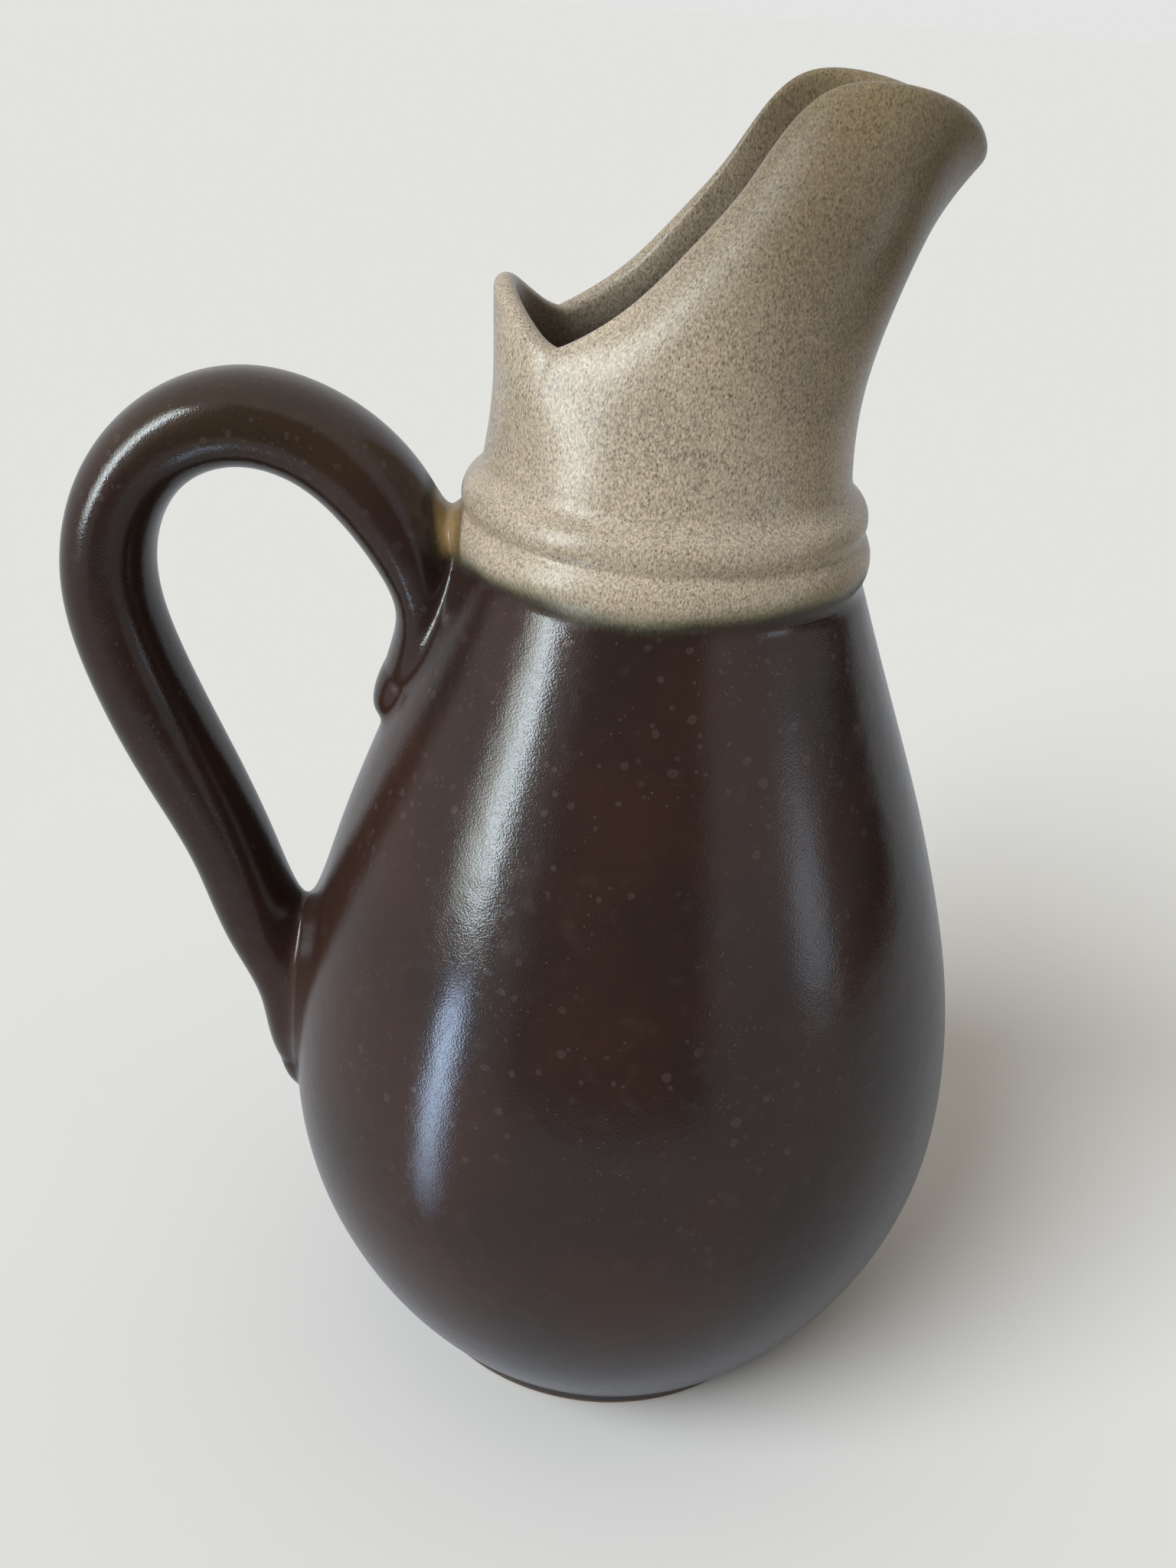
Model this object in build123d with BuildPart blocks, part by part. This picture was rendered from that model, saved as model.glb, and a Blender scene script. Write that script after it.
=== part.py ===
"""Stoneware jug with a beaked spout, built from the clay sections that are luted together.

Millimetres, +Z up. The origin is on the body's axis, in the plane that the foot ring rests on.
The spout points along +X and the handle along -X.
"""

import os
from math import cos, radians, sin

from build123d import *

# Foot ring: a turned ring that carries the jug
foot_radius = 36.0
foot_flare = 1.5
foot_height = 5.0
foot_wall = 7.0
foot_edge_round = 1.0

# Body: outer radii, with heights over the foot ring's seat
seat_overhang = 1.2
belly_radius = 58.0
belly_rise = 50.0
body_top_radius = 31.2
body_rise = 142.0

# Body: lean of the wall at its two ends, outwards from the axis, and how far each end pulls the curve
base_lean = 39.0
shoulder_lean = -20.0
base_pull = 16.6
belly_pull_down = 21.6
belly_pull_up = 30.0
shoulder_pull = 30.0

# Body: wall and floor
body_wall = 5.0
floor_thickness = 6.0
floor_radius = 26.0
floor_pull = 17.0

# Collar: two soft ribs over the joint of body and neck, out from the body's rim and up from its seat
collar_height = 16.0
lower_rib = (0.7, 3.6)
groove = (-0.5, 7.2)
upper_rib = (-0.4, 9.6)

# Hollow between the upper rib and the neck
hollow_width = 1.5
hollow_height = 3.4
hollow_turn = 1.4

# Neck and spout
neck_radius = 27.7
neck_waist = 1.5
neck_wall = 4.5

# Share of a wall section's rise over which its foot and its rim keep their direction
foot_hold = 0.38
rim_hold = 0.34

# Mouth of the spout, from the pouring tip round to the peak at the back:
# azimuth, reach beyond the neck's radius, rise over the collar, lean of the wall at the rim
mouth = [
    (0, 11.2, 46.5, 38),
    (14, 8.9, 49.9, 21),
    (26, 4.8, 52.6, -2),
    (38, -0.7, 53.5, -24),
    (48, -5.6, 52.0, -36),
    (57, -8.6, 47.6, -41),
    (69, -10.4, 40.9, -42),
    (89, -11.7, 32.9, -42),
    (112, -10.4, 25.0, -42),
    (128, -7.3, 20.3, -38),
    (138, -4.9, 18.6, -32),
    (150, -3.5, 20.2, -18),
    (166, -2.4, 23.6, -4),
    (180, -2.0, 24.9, 2),
]

# Tongue-and-groove seats between the thrown sections
tongue_width = 1.6
tongue_height = 1.5
slip_gap = 0.1

# Handle: places of the strap's centre line from the collar's seat, outwards and up,
# with the thickness and the width of the strap there, and the place where the upper root ends
upper_root_end = (12.4, 7.8, 14.6, 20.0)
upper_run = [
    (10.4, -31.0, 2.0, 7.0),
    (7.2, -21.0, 5.0, 15.0),
    (5.4, -11.0, 8.6, 19.0),
    (7.1, -1.0, 12.6, 20.4),
    upper_root_end,
    (21.6, 15.3, 14.4, 19.4),
    (32.6, 18.0, 14.4, 19.0),
    (44.6, 13.7, 13.8, 18.6),
    (52.6, 3.0, 13.8, 18.4),
    (54.6, -9.0, 14.2, 18.4),
]

# The same from the widest place of the belly, with the place where the lower root begins
lower_root_end = (11.0, 37.0, 13.2, 18.4)
lower_run = [
    (24.4, 68.0, 14.6, 18.4),
    (17.4, 51.5, 14.4, 18.4),
    lower_root_end,
    (6.0, 22.0, 12.6, 19.0),
    (2.2, 9.0, 9.0, 18.0),
    (0.7, -2.0, 6.2, 15.0),
    (-1.4, -12.0, 2.0, 8.0),
]

# Stations of the run where the strap is cut from its two roots
upper_cut_station = upper_run.index(upper_root_end)
lower_cut_station = len(upper_run) + lower_run.index(lower_root_end)

# Web of clay pressed in over the upper root, from the collar's seat, outwards and up
web_width = 9.0
web_collar_end = (-1.0, 4.6)
web_middle = (3.0, 5.6)
web_strap_end = (6.0, 9.6)
web_centre = (9.0, 2.0)

# Wad of clay pressed in under the loop at the lower root, from the belly, outwards and up
wad_width = 10.0
wad_strap_end = (3.0, 29.8)
wad_middle = (-0.8, 25.6)
wad_wall_end = (-5.0, 24.6)
wad_low_end = (-3.5, 13.0)
wad_centre = (5.0, 19.0)

# Places of the seats
seat_height = foot_height
seat_radius = foot_radius + foot_flare + seat_overhang
belly_height = seat_height + belly_rise
collar_seat = seat_height + body_rise
neck_seat = collar_seat + collar_height


def place(radius, height, angle, length):
    """A point at a distance from another one, at an angle to the axis."""
    return (radius + length * sin(radians(angle)), height + length * cos(radians(angle)))


def ring_section(middle, width, low, high):
    """Upright rectangle beside the axis, the section of a tongue or a groove."""
    with BuildSketch(Plane.XZ) as section:
        with Locations((middle, (low + high) / 2)):
            Rectangle(width, high - low)
    return section.sketch


def groove_section(middle, seat):
    """Section of the groove that takes a tongue pointing down onto a seat."""
    return ring_section(middle, tongue_width + 2 * slip_gap, seat - tongue_height - slip_gap, seat)


def tongue_section(middle, seat):
    """Section of the tongue under a seat."""
    return ring_section(middle, tongue_width, seat - tongue_height, seat)


foot_middle = foot_radius - foot_wall / 2
collar_middle = body_top_radius - body_wall / 2
neck_middle = neck_radius - neck_wall / 2

# Outer outline of the body, from the foot ring's seat up to the collar's
base_point = (seat_radius, seat_height)
belly_point = (belly_radius, belly_height)
top_point = (body_top_radius, collar_seat)
lower_outline = [
    base_point,
    place(*base_point, base_lean, base_pull),
    (belly_radius, belly_height - belly_pull_down),
    belly_point,
]
upper_outline = [
    belly_point,
    (belly_radius, belly_height + belly_pull_up),
    place(*top_point, shoulder_lean, -shoulder_pull),
    top_point,
]

# Cavity of the body
cavity_floor = seat_height + floor_thickness
lower_cavity = [
    (floor_radius, cavity_floor),
    (floor_radius + floor_pull, cavity_floor),
    (belly_radius - body_wall, belly_height - belly_pull_down),
    (belly_radius - body_wall, belly_height),
]
upper_cavity = [(radius - body_wall, height) for radius, height in upper_outline]

# Outline of the collar, from its seat up to the neck's
rib_points = [top_point]
for out, up in (lower_rib, groove, upper_rib):
    rib_points.append((body_top_radius + out, collar_seat + up))
rib_points.append((neck_radius + hollow_width, neck_seat - hollow_height))
neck_point = (neck_radius, neck_seat)
hollow = [
    rib_points[4],
    (neck_radius, neck_seat - hollow_height + hollow_turn),
    (neck_radius, neck_seat - hollow_turn),
    neck_point,
]

with BuildPart() as foot_ring:
    with BuildSketch(Plane.XZ):
        with BuildLine():
            Polyline(
                (foot_radius - foot_wall, 0),
                (foot_radius, 0),
                (foot_radius + foot_flare, foot_height),
                (foot_radius - foot_wall, foot_height),
                close=True,
            )
        make_face()
    revolve(axis=Axis.Z)
    fillet(foot_ring.edges().group_by(Axis.Z)[0], foot_edge_round)
    revolve(
        ring_section(foot_middle, tongue_width, foot_height, foot_height + tongue_height),
        axis=Axis.Z,
    )

with BuildPart() as body:
    with BuildSketch(Plane.XZ):
        with BuildLine():
            Polyline((0, cavity_floor), (0, seat_height), base_point)
            Bezier(*lower_outline)
            Bezier(*upper_outline)
            Line(top_point, upper_cavity[3])
            Bezier(*reversed(upper_cavity))
            Bezier(*reversed(lower_cavity))
            Line(lower_cavity[0], (0, cavity_floor))
        make_face()
    revolve(axis=Axis.Z)
    revolve(
        ring_section(
            foot_middle,
            tongue_width + 2 * slip_gap,
            foot_height,
            foot_height + tongue_height + slip_gap,
        ),
        axis=Axis.Z,
        mode=Mode.SUBTRACT,
    )
    revolve(groove_section(collar_middle, collar_seat), axis=Axis.Z, mode=Mode.SUBTRACT)

with BuildPart() as collar:
    with BuildSketch(Plane.XZ):
        with BuildLine():
            ThreePointArc(*rib_points[0:3])
            ThreePointArc(*rib_points[2:5])
            Bezier(*hollow)
            Polyline(neck_point, (neck_radius - neck_wall, neck_seat), upper_cavity[3], top_point)
        make_face()
    revolve(axis=Axis.Z)
    revolve(groove_section(neck_middle, neck_seat), axis=Axis.Z, mode=Mode.SUBTRACT)
    revolve(tongue_section(collar_middle, collar_seat), axis=Axis.Z)


def wall_section(azimuth, reach, rise, lean):
    """Upright section of the spout's wall at one azimuth, with a rounded rim."""
    turn = radians(azimuth)
    radial_plane = Plane(
        origin=(0, 0, neck_seat),
        x_dir=(cos(turn), sin(turn), 0),
        z_dir=(sin(turn), -cos(turn), 0),
    )
    rim = (neck_radius + reach, rise)
    middle = place(*rim, lean, -neck_wall / 2)
    outer_edge = place(*middle, lean + 90, neck_wall / 2)
    inner_edge = place(*middle, lean - 90, neck_wall / 2)
    bore = neck_radius - neck_wall
    with BuildSketch(radial_plane) as section:
        with BuildLine():
            Bezier(
                (neck_radius, 0),
                (neck_radius - neck_waist, foot_hold * rise),
                place(*outer_edge, lean, -rim_hold * rise),
                outer_edge,
            )
            ThreePointArc(outer_edge, rim, inner_edge)
            Bezier(
                inner_edge,
                place(*inner_edge, lean, -rim_hold * rise),
                (bore - neck_waist, foot_hold * rise),
                (bore, 0),
            )
            Line((bore, 0), (neck_radius, 0))
        make_face()
    return section.sketch


# The half mouth runs a little past the plane of symmetry at both ends, so that the halves join smoothly
past_tip = (-mouth[1][0],) + mouth[1][1:]
past_peak = (360 - mouth[-2][0],) + mouth[-2][1:]
half_mouth = [past_tip] + mouth + [past_peak]

with BuildPart() as spout:
    loft([wall_section(*station) for station in half_mouth])
    split(bisect_by=Plane.XZ, keep=Keep.BOTTOM)
    mirror(about=Plane.XZ)
    revolve(tongue_section(neck_middle, neck_seat), axis=Axis.Z)

# Solid outer form of body and collar, from which the handle's ends are cut to lie on the wall
with BuildPart() as vessel_form:
    with BuildSketch(Plane.XZ):
        with BuildLine():
            Polyline((0, neck_seat), (0, seat_height), base_point)
            Bezier(*lower_outline)
            Bezier(*upper_outline)
            ThreePointArc(*rib_points[0:3])
            ThreePointArc(*rib_points[2:5])
            Bezier(*hollow)
            Line(neck_point, (0, neck_seat))
        make_face()
    revolve(axis=Axis.Z)


def from_collar(out, up):
    """A point in the handle's plane, from the body's rim at the collar's seat."""
    return (-body_top_radius - out, collar_seat + up)


def from_belly(out, up):
    """A point in the handle's plane, from the widest place of the belly."""
    return (-belly_radius - out, belly_height + up)


# The strap's centre line, with the thickness and the width at each station
run = [from_collar(out, up) + (thick, wide) for out, up, thick, wide in upper_run]
run += [from_belly(out, up) + (thick, wide) for out, up, thick, wide in lower_run]


def strap_plane(station):
    """Plane across the strap at a station, with its X axis across the jug."""
    before = run[max(station - 1, 0)]
    after = run[min(station + 1, len(run) - 1)]
    along = (after[0] - before[0], 0, after[1] - before[1])
    return Plane(origin=(run[station][0], 0, run[station][1]), x_dir=(0, 1, 0), z_dir=along)


def strap_section(station):
    """Oval section of the strap at a station."""
    with BuildSketch(strap_plane(station)) as section:
        Ellipse(run[station][3] / 2, run[station][2] / 2)
    return section.sketch


with BuildPart() as whole_strap:
    loft([strap_section(station) for station in range(len(run))])
    add(vessel_form.part, mode=Mode.SUBTRACT)

# The plane across the upper root meets the loop twice, and the root is the higher of the two ends
upper_cut = strap_plane(upper_cut_station)
lower_cut = strap_plane(lower_cut_station)
upper_side = split(whole_strap.part, bisect_by=upper_cut, keep=Keep.BOTTOM, mode=Mode.PRIVATE)
lower_side = split(whole_strap.part, bisect_by=lower_cut, keep=Keep.TOP, mode=Mode.PRIVATE)
upper_end = upper_side.solids().sort_by(Axis.Z)[-1]
lower_end = lower_side.solids().sort_by(Axis.Z)[0]

with BuildPart() as handle:
    add(whole_strap.part)
    add(upper_end, mode=Mode.SUBTRACT)
    add(lower_end, mode=Mode.SUBTRACT)

with BuildPart() as upper_handle_root:
    with BuildSketch(Plane.XZ):
        with BuildLine():
            ThreePointArc(from_collar(*web_collar_end), from_collar(*web_middle), from_collar(*web_strap_end))
            Polyline(
                from_collar(*web_strap_end),
                from_collar(*web_centre),
                from_collar(*web_collar_end),
            )
        make_face()
    extrude(amount=web_width / 2, both=True)
    add(vessel_form.part, mode=Mode.SUBTRACT)
    add(upper_end)

with BuildPart() as lower_handle_root:
    with BuildSketch(Plane.XZ):
        with BuildLine():
            ThreePointArc(from_belly(*wad_strap_end), from_belly(*wad_middle), from_belly(*wad_wall_end))
            Polyline(
                from_belly(*wad_wall_end),
                from_belly(*wad_low_end),
                from_belly(*wad_centre),
                from_belly(*wad_strap_end),
            )
        make_face()
    extrude(amount=wad_width / 2, both=True)
    add(vessel_form.part, mode=Mode.SUBTRACT)
    add(lower_end)

pieces = {
    "foot_ring": foot_ring,
    "body": body,
    "collar": collar,
    "spout": spout,
    "upper_handle_root": upper_handle_root,
    "handle": handle,
    "lower_handle_root": lower_handle_root,
}

os.makedirs("parts", exist_ok=True)
for name, piece in pieces.items():
    piece.part.label = name
    export_step(piece.part, f"parts/{name}.step")
    box = piece.part.bounding_box()
    print(name, len(piece.part.solids()), "solid", round(piece.part.volume / 1000, 1), "cm3", box.min, box.max)
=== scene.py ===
"""Looks of a stoneware jug with a beaked spout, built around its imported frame.

Metres, +Z up. The origin is on the body's axis, in the plane that the foot ring rests on. The spout points
along +X and the handle along -X. The sizes held by the classes are millimetres, but for the studio's.
"""

import logging
import math
from dataclasses import dataclass, field, replace
from enum import Enum
from typing import Callable, List, Mapping, Optional, Sequence, Tuple, Union

import bpy
import numpy as np
from mathutils import Matrix


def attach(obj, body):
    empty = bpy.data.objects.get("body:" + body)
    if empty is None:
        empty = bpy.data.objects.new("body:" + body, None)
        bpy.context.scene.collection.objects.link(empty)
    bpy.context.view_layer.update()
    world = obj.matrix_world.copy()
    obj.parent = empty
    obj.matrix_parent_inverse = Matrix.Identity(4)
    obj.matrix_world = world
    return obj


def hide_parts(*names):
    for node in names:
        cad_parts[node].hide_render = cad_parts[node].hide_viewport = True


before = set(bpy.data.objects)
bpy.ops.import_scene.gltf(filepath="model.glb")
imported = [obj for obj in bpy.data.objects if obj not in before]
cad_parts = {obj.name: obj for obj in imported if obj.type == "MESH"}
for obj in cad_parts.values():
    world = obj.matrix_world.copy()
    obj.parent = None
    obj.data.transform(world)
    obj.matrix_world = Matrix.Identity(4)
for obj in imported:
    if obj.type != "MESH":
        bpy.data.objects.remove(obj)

log = logging.getLogger("jug")

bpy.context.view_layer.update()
MM = 0.001
FULL_TURN = 360.0
QUARTER_TURN = 90.0
ROOT = "root"
INSIDE = "inside"

# Least values that are divided by.
SMALL = 1e-3
TINY = 1e-6

Pair = Tuple[float, float]
Colour = Tuple[float, float, float]
Place = Tuple[float, float, float]
Station = Tuple[float, float, float, float]
Name = Union[int, str]

BLACK: Colour = (0.0, 0.0, 0.0)


class Slot(Enum):
    """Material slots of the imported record."""

    BROWN = "brown_glaze"
    OATMEAL = "oatmeal_glaze"
    BARE = "bare_stoneware"


def operator(operation: str, reflected: bool = False) -> Callable[["Term", "Value"], "Term"]:
    """A method of Term for one of Python's operators.

    Args:
        operation: The Math node's operation.
        reflected: Whether the other value comes first.

    Returns:
        The method, which adds the Math node.
    """

    def method(term: "Term", other: "Value") -> "Term":
        """The two values joined by the operator."""
        return term.bench.maths(operation, *((other, term) if reflected else (term, other)))

    return method


class Detail(float, Enum):
    """How fine a noise is worked out."""

    PLAIN = 1.0
    SOFT = 2.0
    RICH = 3.0
    GRITTY = 4.0


class Term:
    """An output of a node that takes part in Python expressions on plain values."""

    def __init__(self, bench: "Bench", socket: Optional[bpy.types.NodeSocket]) -> None:
        """Keep the tree and the socket."""
        self.bench = bench
        self.socket = socket

    def other(self, name: Name) -> "Term":
        """Another output of the same node."""
        return Term(self.bench, self.socket.node.outputs[name])

    def apply(self, operation: str, other: "Value" = 0.0) -> "Term":
        """A Math node on this value, and on another one where it takes two."""
        return self.bench.maths(operation, self, other)

    __add__, __radd__ = operator("ADD"), operator("ADD", True)
    __sub__, __rsub__ = operator("SUBTRACT"), operator("SUBTRACT", True)
    __mul__, __rmul__ = operator("MULTIPLY"), operator("MULTIPLY", True)
    __truediv__, __rtruediv__ = operator("DIVIDE"), operator("DIVIDE", True)
    __pow__, __mod__ = operator("POWER"), operator("MODULO")

    def floor(self) -> "Term":
        """The whole number below this value."""
        return self.apply("FLOOR")

    def step(self, low: float, high: float) -> "Term":
        """A smooth step of this value, from 0 at low to 1 at high."""
        inputs = {"Value": self, "From Min": low, "From Max": high}
        return self.bench.add("ShaderNodeMapRange", {"interpolation_type": "SMOOTHSTEP"}, inputs)


Value = Union[Term, float, int, str, Sequence[float], bpy.types.ID]


class Bench:
    """A node tree under construction."""

    # A Mix node's colour sockets come after those for values and vectors.
    mix_low, mix_high, mix_result = 6, 7, 2

    def __init__(self, tree: bpy.types.NodeTree) -> None:
        """Keep the tree."""
        self.tree = tree

    def add(
        self,
        kind: str,
        settings: Optional[Mapping[str, object]] = None,
        inputs: Optional[Mapping[Name, Value]] = None,
        output: Name = 0,
    ) -> Term:
        """Add a node of any kind.

        Args:
            kind: Type of the node.
            settings: Its own settings, which are set first.
            inputs: Values or terms for its sockets.
            output: The socket that is handed back.

        Returns:
            The chosen output of the new node, or a term without a socket where it has none.
        """
        node = self.tree.nodes.new(kind)
        for name, value in (settings or {}).items():
            setattr(node, name, value)
        for name, value in (inputs or {}).items():
            if isinstance(value, Term):
                self.tree.links.new(value.socket, node.inputs[name])
            else:
                node.inputs[name].default_value = value
        return Term(self, node.outputs[output] if len(node.outputs) else None)

    def maths(self, operation: str, first: Value, second: Value) -> Term:
        """A Math node on two values."""
        return self.add("ShaderNodeMath", {"operation": operation}, {0: first, 1: second})

    def vector(self, operation: str, first: Value, second: Value) -> Term:
        """A Vector Math node on two vectors."""
        return self.add("ShaderNodeVectorMath", {"operation": operation}, {0: first, 1: second})

    def scaled(self, first: Value, scale: Value) -> Term:
        """A vector times a value."""
        return self.add("ShaderNodeVectorMath", {"operation": "SCALE"}, {0: first, "Scale": scale})

    def axes(self, vector: Value) -> Tuple[Term, Term, Term]:
        """The three parts of a vector."""
        first = self.add("ShaderNodeSeparateXYZ", None, {0: vector})
        return first, first.other(1), first.other(2)

    def channels(self, colour: Value) -> Tuple[Term, Term, Term]:
        """The three parts of a colour."""
        first = self.add("ShaderNodeSeparateColor", None, {0: colour})
        return first, first.other(1), first.other(2)

    def blend(self, amount: Value, low: Value, high: Value) -> Term:
        """A mix of two colours.

        Args:
            amount: How far the mix is from the low colour, from 0 to 1.
            low: The colour at 0.
            high: The colour at 1.

        Returns:
            The mixed colour.
        """
        low, high = (colour if isinstance(colour, Term) else (*colour, 1.0) for colour in (low, high))
        inputs = {0: amount, self.mix_low: low, self.mix_high: high}
        return self.add("ShaderNodeMix", {"data_type": "RGBA"}, inputs, self.mix_result)

    def noise(self, place: Value, scale: float, detail: Detail = Detail.SOFT, output: Name = 0) -> Term:
        """Noise of a given number of features per unit."""
        return self.add("ShaderNodeTexNoise", None, {"Vector": place, "Scale": scale, "Detail": detail}, output)

    def sway(self, place: Value, scale: float, detail: Detail) -> Term:
        """Noise about zero."""
        return self.noise(place, scale, detail) - 0.5

    def cells(self, place: Value, scale: float) -> Term:
        """Distance from scattered points, of a given number per unit."""
        return self.add("ShaderNodeTexVoronoi", None, {"Vector": place, "Scale": scale}, "Distance")

    def surface(self, values: Mapping[Name, Value]) -> None:
        """A Principled shader with the given sockets, and the output that it feeds."""
        shader = self.add("ShaderNodeBsdfPrincipled", None, values)
        self.add("ShaderNodeOutputMaterial", None, {"Surface": shader})


class Ground(Bench):
    """The bench of a glaze, which knows the place on the jug in millimetres."""

    def __init__(self, tree: bpy.types.NodeTree) -> None:
        """Lay the nodes that read the place.

        Args:
            tree: The material's tree.
        """
        super().__init__(tree)
        self.place = self.scaled(self.add("ShaderNodeTexCoord", output="Object"), 1 / MM)
        self.x, self.y, self.z = self.axes(self.place)


def blank_material(name: str) -> Tuple[bpy.types.Material, Bench]:
    """A material without nodes.

    Args:
        name: Its name.

    Returns:
        The material, and the bench on which its nodes are laid.
    """
    material = bpy.data.materials.new(name)
    material.use_nodes = True
    material.node_tree.nodes.clear()
    return material, Bench(material.node_tree)


@dataclass(frozen=True)
class DipLine:
    """Edge of the oatmeal glaze round the shoulder, a slightly tilted plane, and its stop on the handle.

    A pair holds the ends of a soft step: places along an axis in the fields named x, and otherwise distances
    from the edge.
    """

    height: float = 145.6
    tilt_x: float = 0.10
    tilt_y: float = -0.08
    root_lift: float = 4.8
    lift_x: Pair = (-31.0, -4.0)
    drift: float = 1.8
    drift_per_mm: float = 0.11
    fuzz: float = 1.5
    fuzz_per_mm: float = 3.0
    stroke: Place = (1.0, 1.0, 0.4)
    cover: Pair = (-1.3, 1.1)
    green_edge: Pair = (0.0, 2.4)
    green_share: float = 0.6
    seam: Pair = (-2.6, -0.1)
    handle_stop: float = -35.2
    stop_height: float = 156.0
    stop_slope: float = 0.2
    stop_fuzz: float = 0.5
    stop_edge: Pair = (-0.5, 0.5)
    seam_stop: Pair = (-1.6, 0.2)
    web_x: Pair = (-30.8, -30.0)
    web_drift: float = 2.0
    web_grain_per_mm: float = 1.4
    # Where the web's glaze darkens into painted shade towards the collar.
    web_shade_x: Pair = (-32.4, -30.4)


@dataclass(frozen=True)
class BrownGlaze:
    """Semi-gloss chocolate-brown glaze with an orange-peel skin and pale blister marks.

    A pair holds the ends of a soft step: places along an axis in the fields named x and z, and otherwise
    levels of a noise or sizes of a mark. A share says how far a mark turns the colour.
    """

    warm: Colour = (0.048, 0.024, 0.018)
    cool: Colour = (0.027, 0.018, 0.017)
    # Amber of thinner glaze over the handle's top, which also stands for a painted sheen where light falls from above.
    amber_sheen: Colour = (0.052, 0.035, 0.019)
    blister: Colour = (0.135, 0.108, 0.104)
    olive: Colour = (0.048, 0.046, 0.024)
    cloud: Pair = (0.32, 0.68)
    cloud_per_mm: float = 0.035
    cloud_share: float = 0.75
    mottle_per_mm: float = 0.6
    amber_sheen_x: Pair = (-46.0, -36.0)
    amber_sheen_z: Pair = (152.0, 165.0)
    amber_sheen_share: float = 0.3
    amber_sheen_mottle: float = 0.4
    warp: float = 0.8
    warp_per_mm: float = 0.5
    blisters_per_mm: float = 0.46
    least_blister: float = 0.17
    blister_spread: float = 0.26
    blister_picked: Pair = (0.42, 0.54)
    blister_patch: Pair = (0.38, 0.58)
    blister_patches_per_mm: float = 0.05
    often_z: Pair = (35.0, 85.0)
    least_often: float = 0.25
    dot: Pair = (0.55, 1.0)
    dot_share: float = 0.17
    ring: Pair = (0.25, 0.7)
    ring_share: float = 0.11
    fleck: Pair = (0.10, 0.17)
    flecks_per_mm: float = 0.85
    fleck_patch: Pair = (0.50, 0.62)
    fleck_patches_per_mm: float = 0.12
    fleck_share: float = 0.45
    film: Pair = (0.56, 0.76)
    film_per_mm: float = 0.26
    film_share: float = 0.07
    roughness: float = 0.15
    mottle_roughness: float = 0.07
    dot_roughness: float = 0.05
    film_roughness: float = 0.04
    seam_roughness: float = 0.42
    gloss: float = 0.37
    peel: float = 0.30
    peel_per_mm: float = 3.1
    wave: float = 0.6
    wave_per_mm: float = 0.22
    ring_height: float = 0.06


@dataclass(frozen=True)
class OatmealGlaze:
    """Satin oatmeal glaze with a dense dark speckle.

    Pairs and shares are as in the brown glaze.
    """

    light: Colour = (0.770, 0.665, 0.535)
    grey: Colour = (0.640, 0.548, 0.425)
    olive: Colour = (0.330, 0.262, 0.140)
    green: Colour = (0.190, 0.205, 0.130)
    # Darker olive-brown of the lip, also laid over the right side of the neck as painted shade away from the key light.
    deep: Colour = (0.215, 0.166, 0.100)
    ochre: Colour = (0.300, 0.215, 0.105)
    # Darker ochre, painted shade in the crease between the web and the collar.
    ochre_shade: Colour = (0.150, 0.098, 0.055)
    speck: Colour = (0.055, 0.043, 0.033)
    # Painted shade inside the collar's bore and low in the spout's throat.
    throat_shade: Colour = (0.050, 0.036, 0.024)
    rust: Colour = (0.230, 0.105, 0.050)
    cloud: Pair = (0.30, 0.70)
    cloud_per_mm: float = 0.05
    deep_and_shade_x: Pair = (-14.0, 16.0)
    deep_and_shade_z: Pair = (162.0, 200.0)
    deep_and_shade_share: float = 0.85
    olive_x: Pair = (2.0, 22.0)
    olive_z: Pair = (203.0, 215.0)
    olive_share: float = 0.6
    stretch: Place = (1.0, 1.0, 0.55)
    density: float = 0.10
    density_per_mm: float = 0.09
    fine: Pair = (0.28, 0.72)
    fine_per_mm: float = 3.4
    fine_contrast: float = 0.75
    fine_share: float = 0.68
    coarse: Pair = (0.55, 0.70)
    coarse_per_mm: float = 2.4
    coarse_shift: Place = (31.0, 7.0, 3.0)
    coarse_share: float = 0.34
    specks_per_mm: float = 2.3
    least_speck: float = 0.20
    speck_spread: float = 0.22
    speck_edge: Pair = (0.55, 1.1)
    speck_picked: Pair = (0.30, 0.38)
    speck_share: float = 0.55
    rust_picked: Pair = (0.86, 0.90)
    rust_share: float = 0.40
    bore_radius: Pair = (26.4, 27.2)
    bore_z: Pair = (163.5, 164.5)
    throat_z: Pair = (170.0, 193.0)
    throat_share: float = 0.92
    roughness: float = 0.21
    coarse_roughness: float = 0.06
    cloud_roughness: float = 0.05
    gloss: float = 0.29
    fine_depth: float = 0.10
    wave: float = 0.55
    wave_per_mm: float = 0.55


@dataclass(frozen=True)
class BareClay:
    """Fired clay without glaze, under the foot. A pair holds the ends of a soft step."""

    light: Colour = (0.270, 0.185, 0.125)
    dark: Colour = (0.170, 0.110, 0.075)
    tone: Pair = (0.35, 0.65)
    glaze_line_z: Pair = (0.9, 1.35)
    line_drift: float = 0.8
    grit_per_mm: float = 1.6
    grit_height: float = 1.2
    roughness: float = 0.8


@dataclass(frozen=True)
class Skin:
    """Colour, roughness and relief of a surface, the relief in units of the bump's distance."""

    colour: Term
    roughness: Value
    height: Term

    def under(self, top: "Skin", cover: Term) -> "Skin":
        """This skin with another one laid over it.

        Args:
            top: The skin on top.
            cover: How far it covers this one, from 0 to 1.

        Returns:
            The mixed skin.
        """
        return Skin(
            cover.bench.blend(cover, self.colour, top.colour),
            self.roughness + cover * (top.roughness - self.roughness),
            self.height + cover * (top.height - self.height),
        )


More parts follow.
